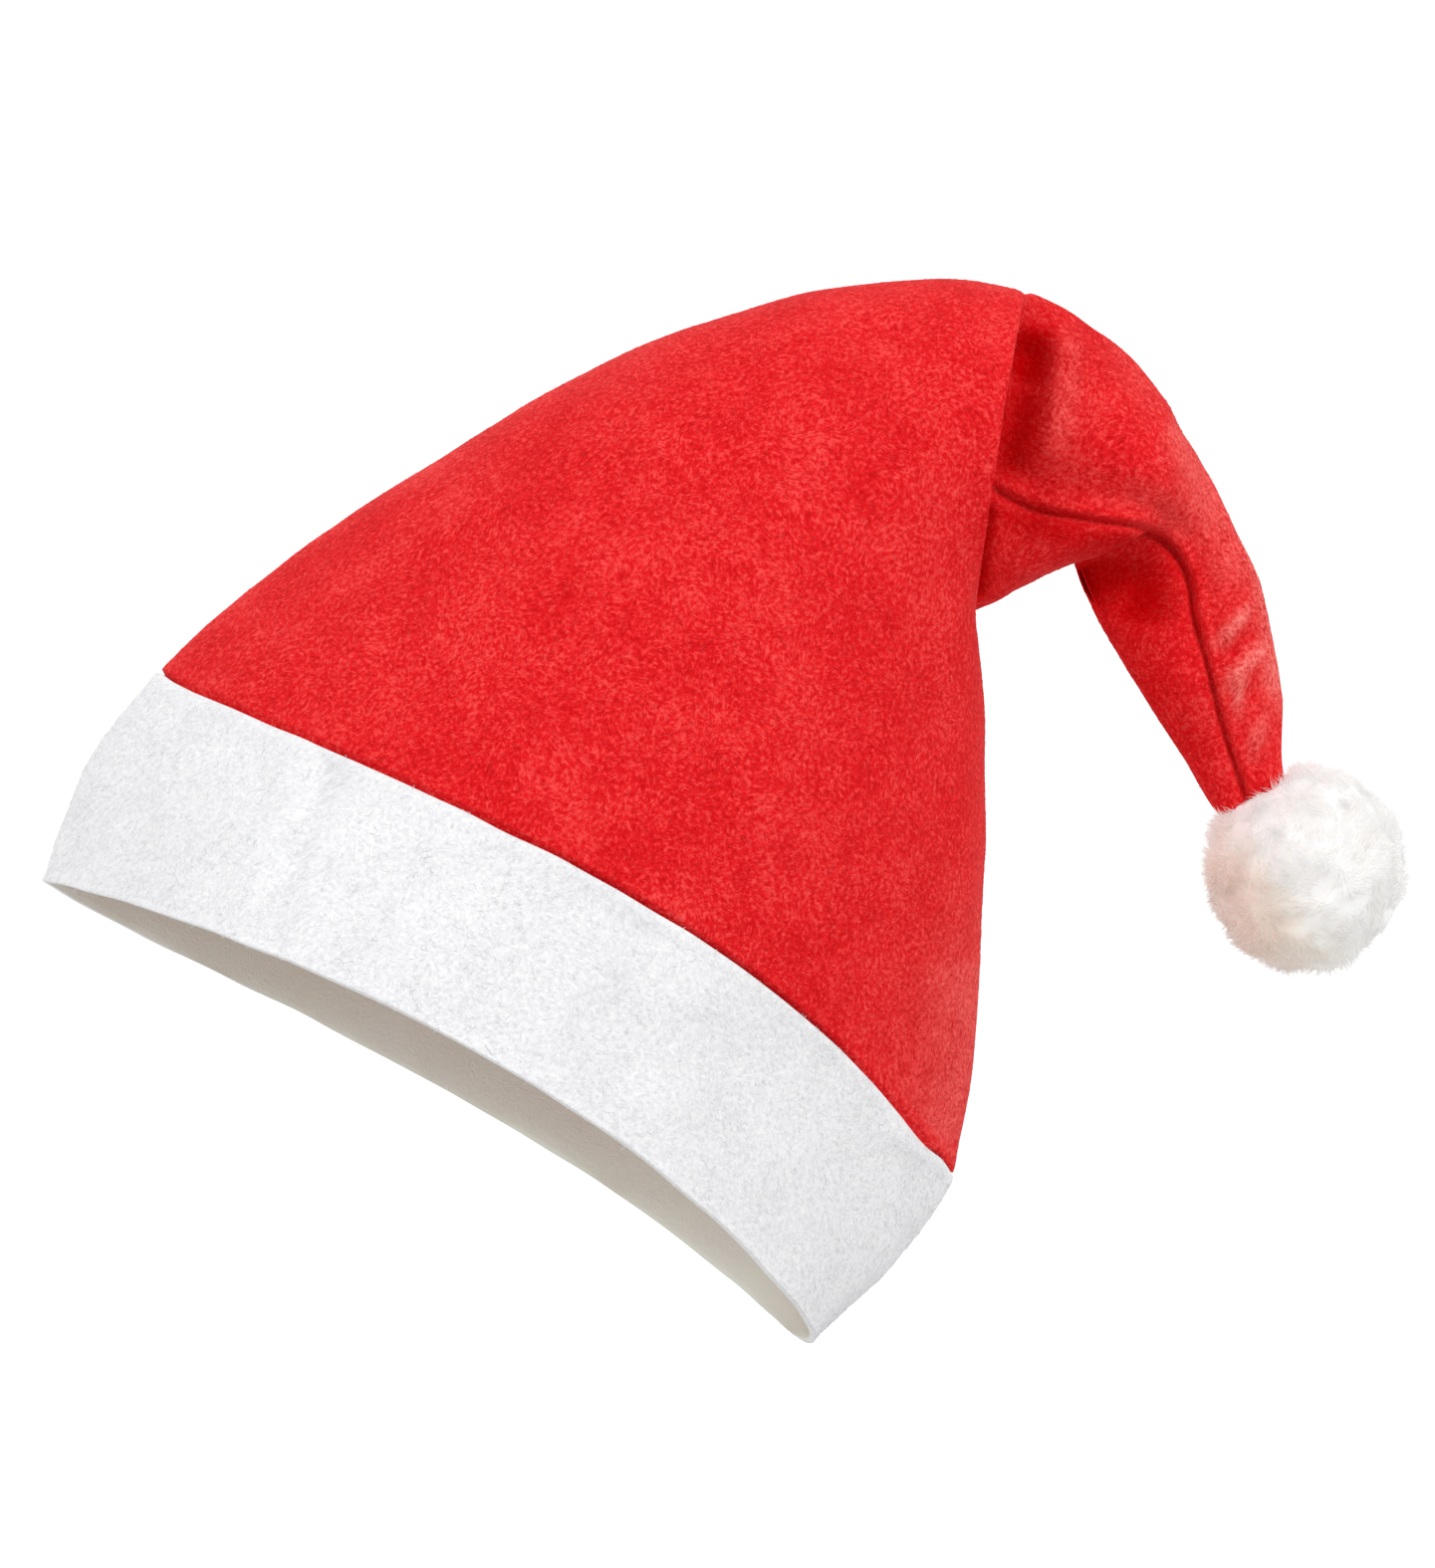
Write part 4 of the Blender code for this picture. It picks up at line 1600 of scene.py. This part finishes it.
@dataclass
class Studio:
    """A pale floor and backdrop, soft lights and the camera."""

    eye: tuple[float, float, float] = (0.07657, -1.041, 0.08541)
    lens: float = 100.0
    sensor: float = 36.0
    floor_height: float = -0.32
    floor_size: float = 3.0
    floor_bend: float = 0.8
    bend_steps: int = 12
    wall_height: float = 4.0
    world_strength: float = 0.85
    world_below: float = 1.05
    aim: tuple[float, float, float] = (0.06, 0.0, 0.08)
    lamps: tuple[Lamp, ...] = (
        Lamp("studio_key", (1.15, -0.85, 1.05), 0.7, 10.0),
        Lamp("studio_fill", (-1.1, -1.05, 0.9), 0.9, 8.0),
        Lamp("studio_back", (-0.6, 1.4, 0.9), 0.9, 8.0),
    )

    def light(self, lamp: Lamp) -> None:
        """Hang a soft light that points at the hat.

        Args:
            lamp: where it hangs, its size and its power.
        """
        data = bpy.data.lights.new(lamp.name, "AREA")
        data.shape = "SQUARE"
        data.size = lamp.size
        data.energy = lamp.power
        hung = bpy.data.objects.new(lamp.name, data)
        hung.location = lamp.place
        aim = Vector(self.aim) - Vector(lamp.place)
        hung.rotation_euler = aim.to_track_quat("-Z", "Y").to_euler()
        bpy.context.scene.collection.objects.link(hung)

    def backdrop(self) -> None:
        """Lay a floor that curves up behind into a wall."""
        size, low, bend = self.floor_size, self.floor_height, self.floor_bend
        profile = [(-size, low), (size - bend, low)]
        for step in range(1, self.bend_steps + 1):
            angle = math.pi / 2.0 * step / self.bend_steps
            across, up = math.sin(angle), 1.0 - math.cos(angle)
            profile.append((size - bend + bend * across, low + bend * up))
        profile.append((size, low + self.wall_height))
        spots = []
        for side in (-2.0 * size, 2.0 * size):
            spots += [(side, y, z) for y, z in profile]
        count = len(profile)
        faces = [(at, count + at, count + at + 1, at + 1) for at in range(count - 1)]
        piece = new_piece("studio_backdrop", np.array(spots) / MM, faces)
        material, bench = new_material("studio_white")
        bench.surface({
            "Base Color": rgb(0.9, 0.9, 0.9), "Roughness": 1.0, "Specular IOR Level": 0.5,
            "Emission Color": rgb(1.0, 1.0, 1.0), "Emission Strength": 0.55,
        })
        piece.data.materials.append(material)
        piece.visible_diffuse = False
        piece.visible_glossy = False
        piece.visible_shadow = False

    def air(self) -> None:
        """Light the world softly, a little more from below."""
        world = bpy.data.worlds.new("studio_air")
        world.use_nodes = True
        bpy.context.scene.world = world
        bench = Bench(world.node_tree)
        way = bench.add("ShaderNodeTexCoord").outputs["Generated"]
        up = bench.add("ShaderNodeSeparateXYZ", {0: way}).outputs[2]
        glow = bench.add("ShaderNodeMapRange", {
            "Value": up, "From Min": -1.0, "From Max": 0.7,
            "To Min": self.world_below * self.world_strength, "To Max": self.world_strength,
        }).outputs[0]
        air = bench.add("ShaderNodeBackground", {"Strength": glow})
        bench.add("ShaderNodeOutputWorld", {0: air.outputs[0]})

    def build(self) -> None:
        """Set the world, the backdrop, the lights and the camera."""
        scene = bpy.context.scene
        self.air()
        self.backdrop()
        for lamp in self.lamps:
            self.light(lamp)
        data = bpy.data.cameras.new("studio_camera")
        data.lens = self.lens
        data.sensor_width = self.sensor
        data.sensor_fit = "HORIZONTAL"
        data.clip_start = 0.01
        camera = bpy.data.objects.new("studio_camera", data)
        camera.location = self.eye
        camera.rotation_euler = (math.pi / 2.0, 0.0, 0.0)
        scene.collection.objects.link(camera)
        scene.camera = camera
        scene.view_settings.view_transform = "Standard"


def main() -> None:
    """Build the hat's pieces and the studio, and report each piece."""
    logging.basicConfig(level=logging.INFO, format="%(message)s")
    # In each felt and fibre finish, deep is the colour of painted shade in folds and painted_highlight
    # that of painted highlights.
    red = FeltFinish(
        name="crown_red_felt", dark=rgb(0.58, 0.001, 0.003), base=rgb(0.79, 0.009, 0.014),
        light=rgb(0.93, 0.07, 0.065), inside=rgb(0.66, 0.004, 0.008),
        deep=rgb(0.50, 0.0, 0.001), painted_highlight=rgb(1.0, 0.25, 0.22),
        sheen_tint=rgb(1.0, 0.30, 0.28),
    )
    white = FeltFinish(
        name="band_white_felt", dark=rgb(0.77, 0.77, 0.785), base=rgb(0.87, 0.87, 0.885),
        light=rgb(0.96, 0.96, 0.97), inside=rgb(0.87, 0.88, 0.77),
        deep=rgb(0.7, 0.7, 0.7), painted_highlight=rgb(0.96, 0.96, 0.97),
        sheen_tint=rgb(1.0, 1.0, 1.0), patch=0.15,
    )
    red_fibre = FibreFinish(
        "crown_loose_fibre", dull=rgb(0.80, 0.010, 0.014), bright=rgb(0.97, 0.095, 0.085),
        deep=rgb(0.53, 0.0, 0.001), painted_highlight=rgb(1.0, 0.42, 0.37),
    )
    white_fibre = FibreFinish(
        "band_loose_fibre", dull=rgb(0.82, 0.82, 0.84), bright=rgb(0.99, 0.99, 0.99),
        deep=rgb(0.7, 0.7, 0.7), painted_highlight=rgb(0.99, 0.99, 0.99),
    )
    form = HatForm()
    pompom = Pompom(form)
    # The plush's two tinted colours are painted shade, one with a painted red reflection.
    plush = PlushFinish(
        name="pompom_white_plush", base=rgb(0.98, 0.97, 0.96), painted_shade_and_red_bounce=rgb(0.86, 0.72, 0.63),
        painted_shade_below=rgb(0.99, 0.96, 0.88), root=rgb(0.95, 0.92, 0.89),
        centre=tuple(value * MM for value in pompom.centre), radius=pompom.head_radius * MM,
    )
    matted = FibreLayer(
        FibreKind.MATTED, density=400000.0, length=0.0019, width=0.00013, lift=0.00020,
        curl=0.003, whorl=0.011, seed=4,
    )
    band_matted = FibreLayer(
        FibreKind.MATTED, density=400000.0, length=0.0025, width=0.00014, lift=0.00025,
        curl=0.003, whorl=0.018, seed=6,
    )
    pile = FibreLayer(
        FibreKind.PILE, density=2300000.0, length=0.0034, width=0.00028, lift=0.0, curl=0.0014,
        whorl=0.013, seed=8, mask="pile",
    )
    pieces = Crown(form).build(red, red_fibre, matted)
    pieces += Band(form).build(white, white_fibre, band_matted)
    pieces += pompom.build(plush, pile)
    total = 0
    for piece in pieces:
        piece.data.calc_loop_triangles()
        count = len(piece.data.loop_triangles)
        total += count
        LOG.info("%s: %d triangles", piece.name, count)
    LOG.info("all pieces: %d triangles", total)
    Studio().build()


if __name__ == "__main__":
    main()
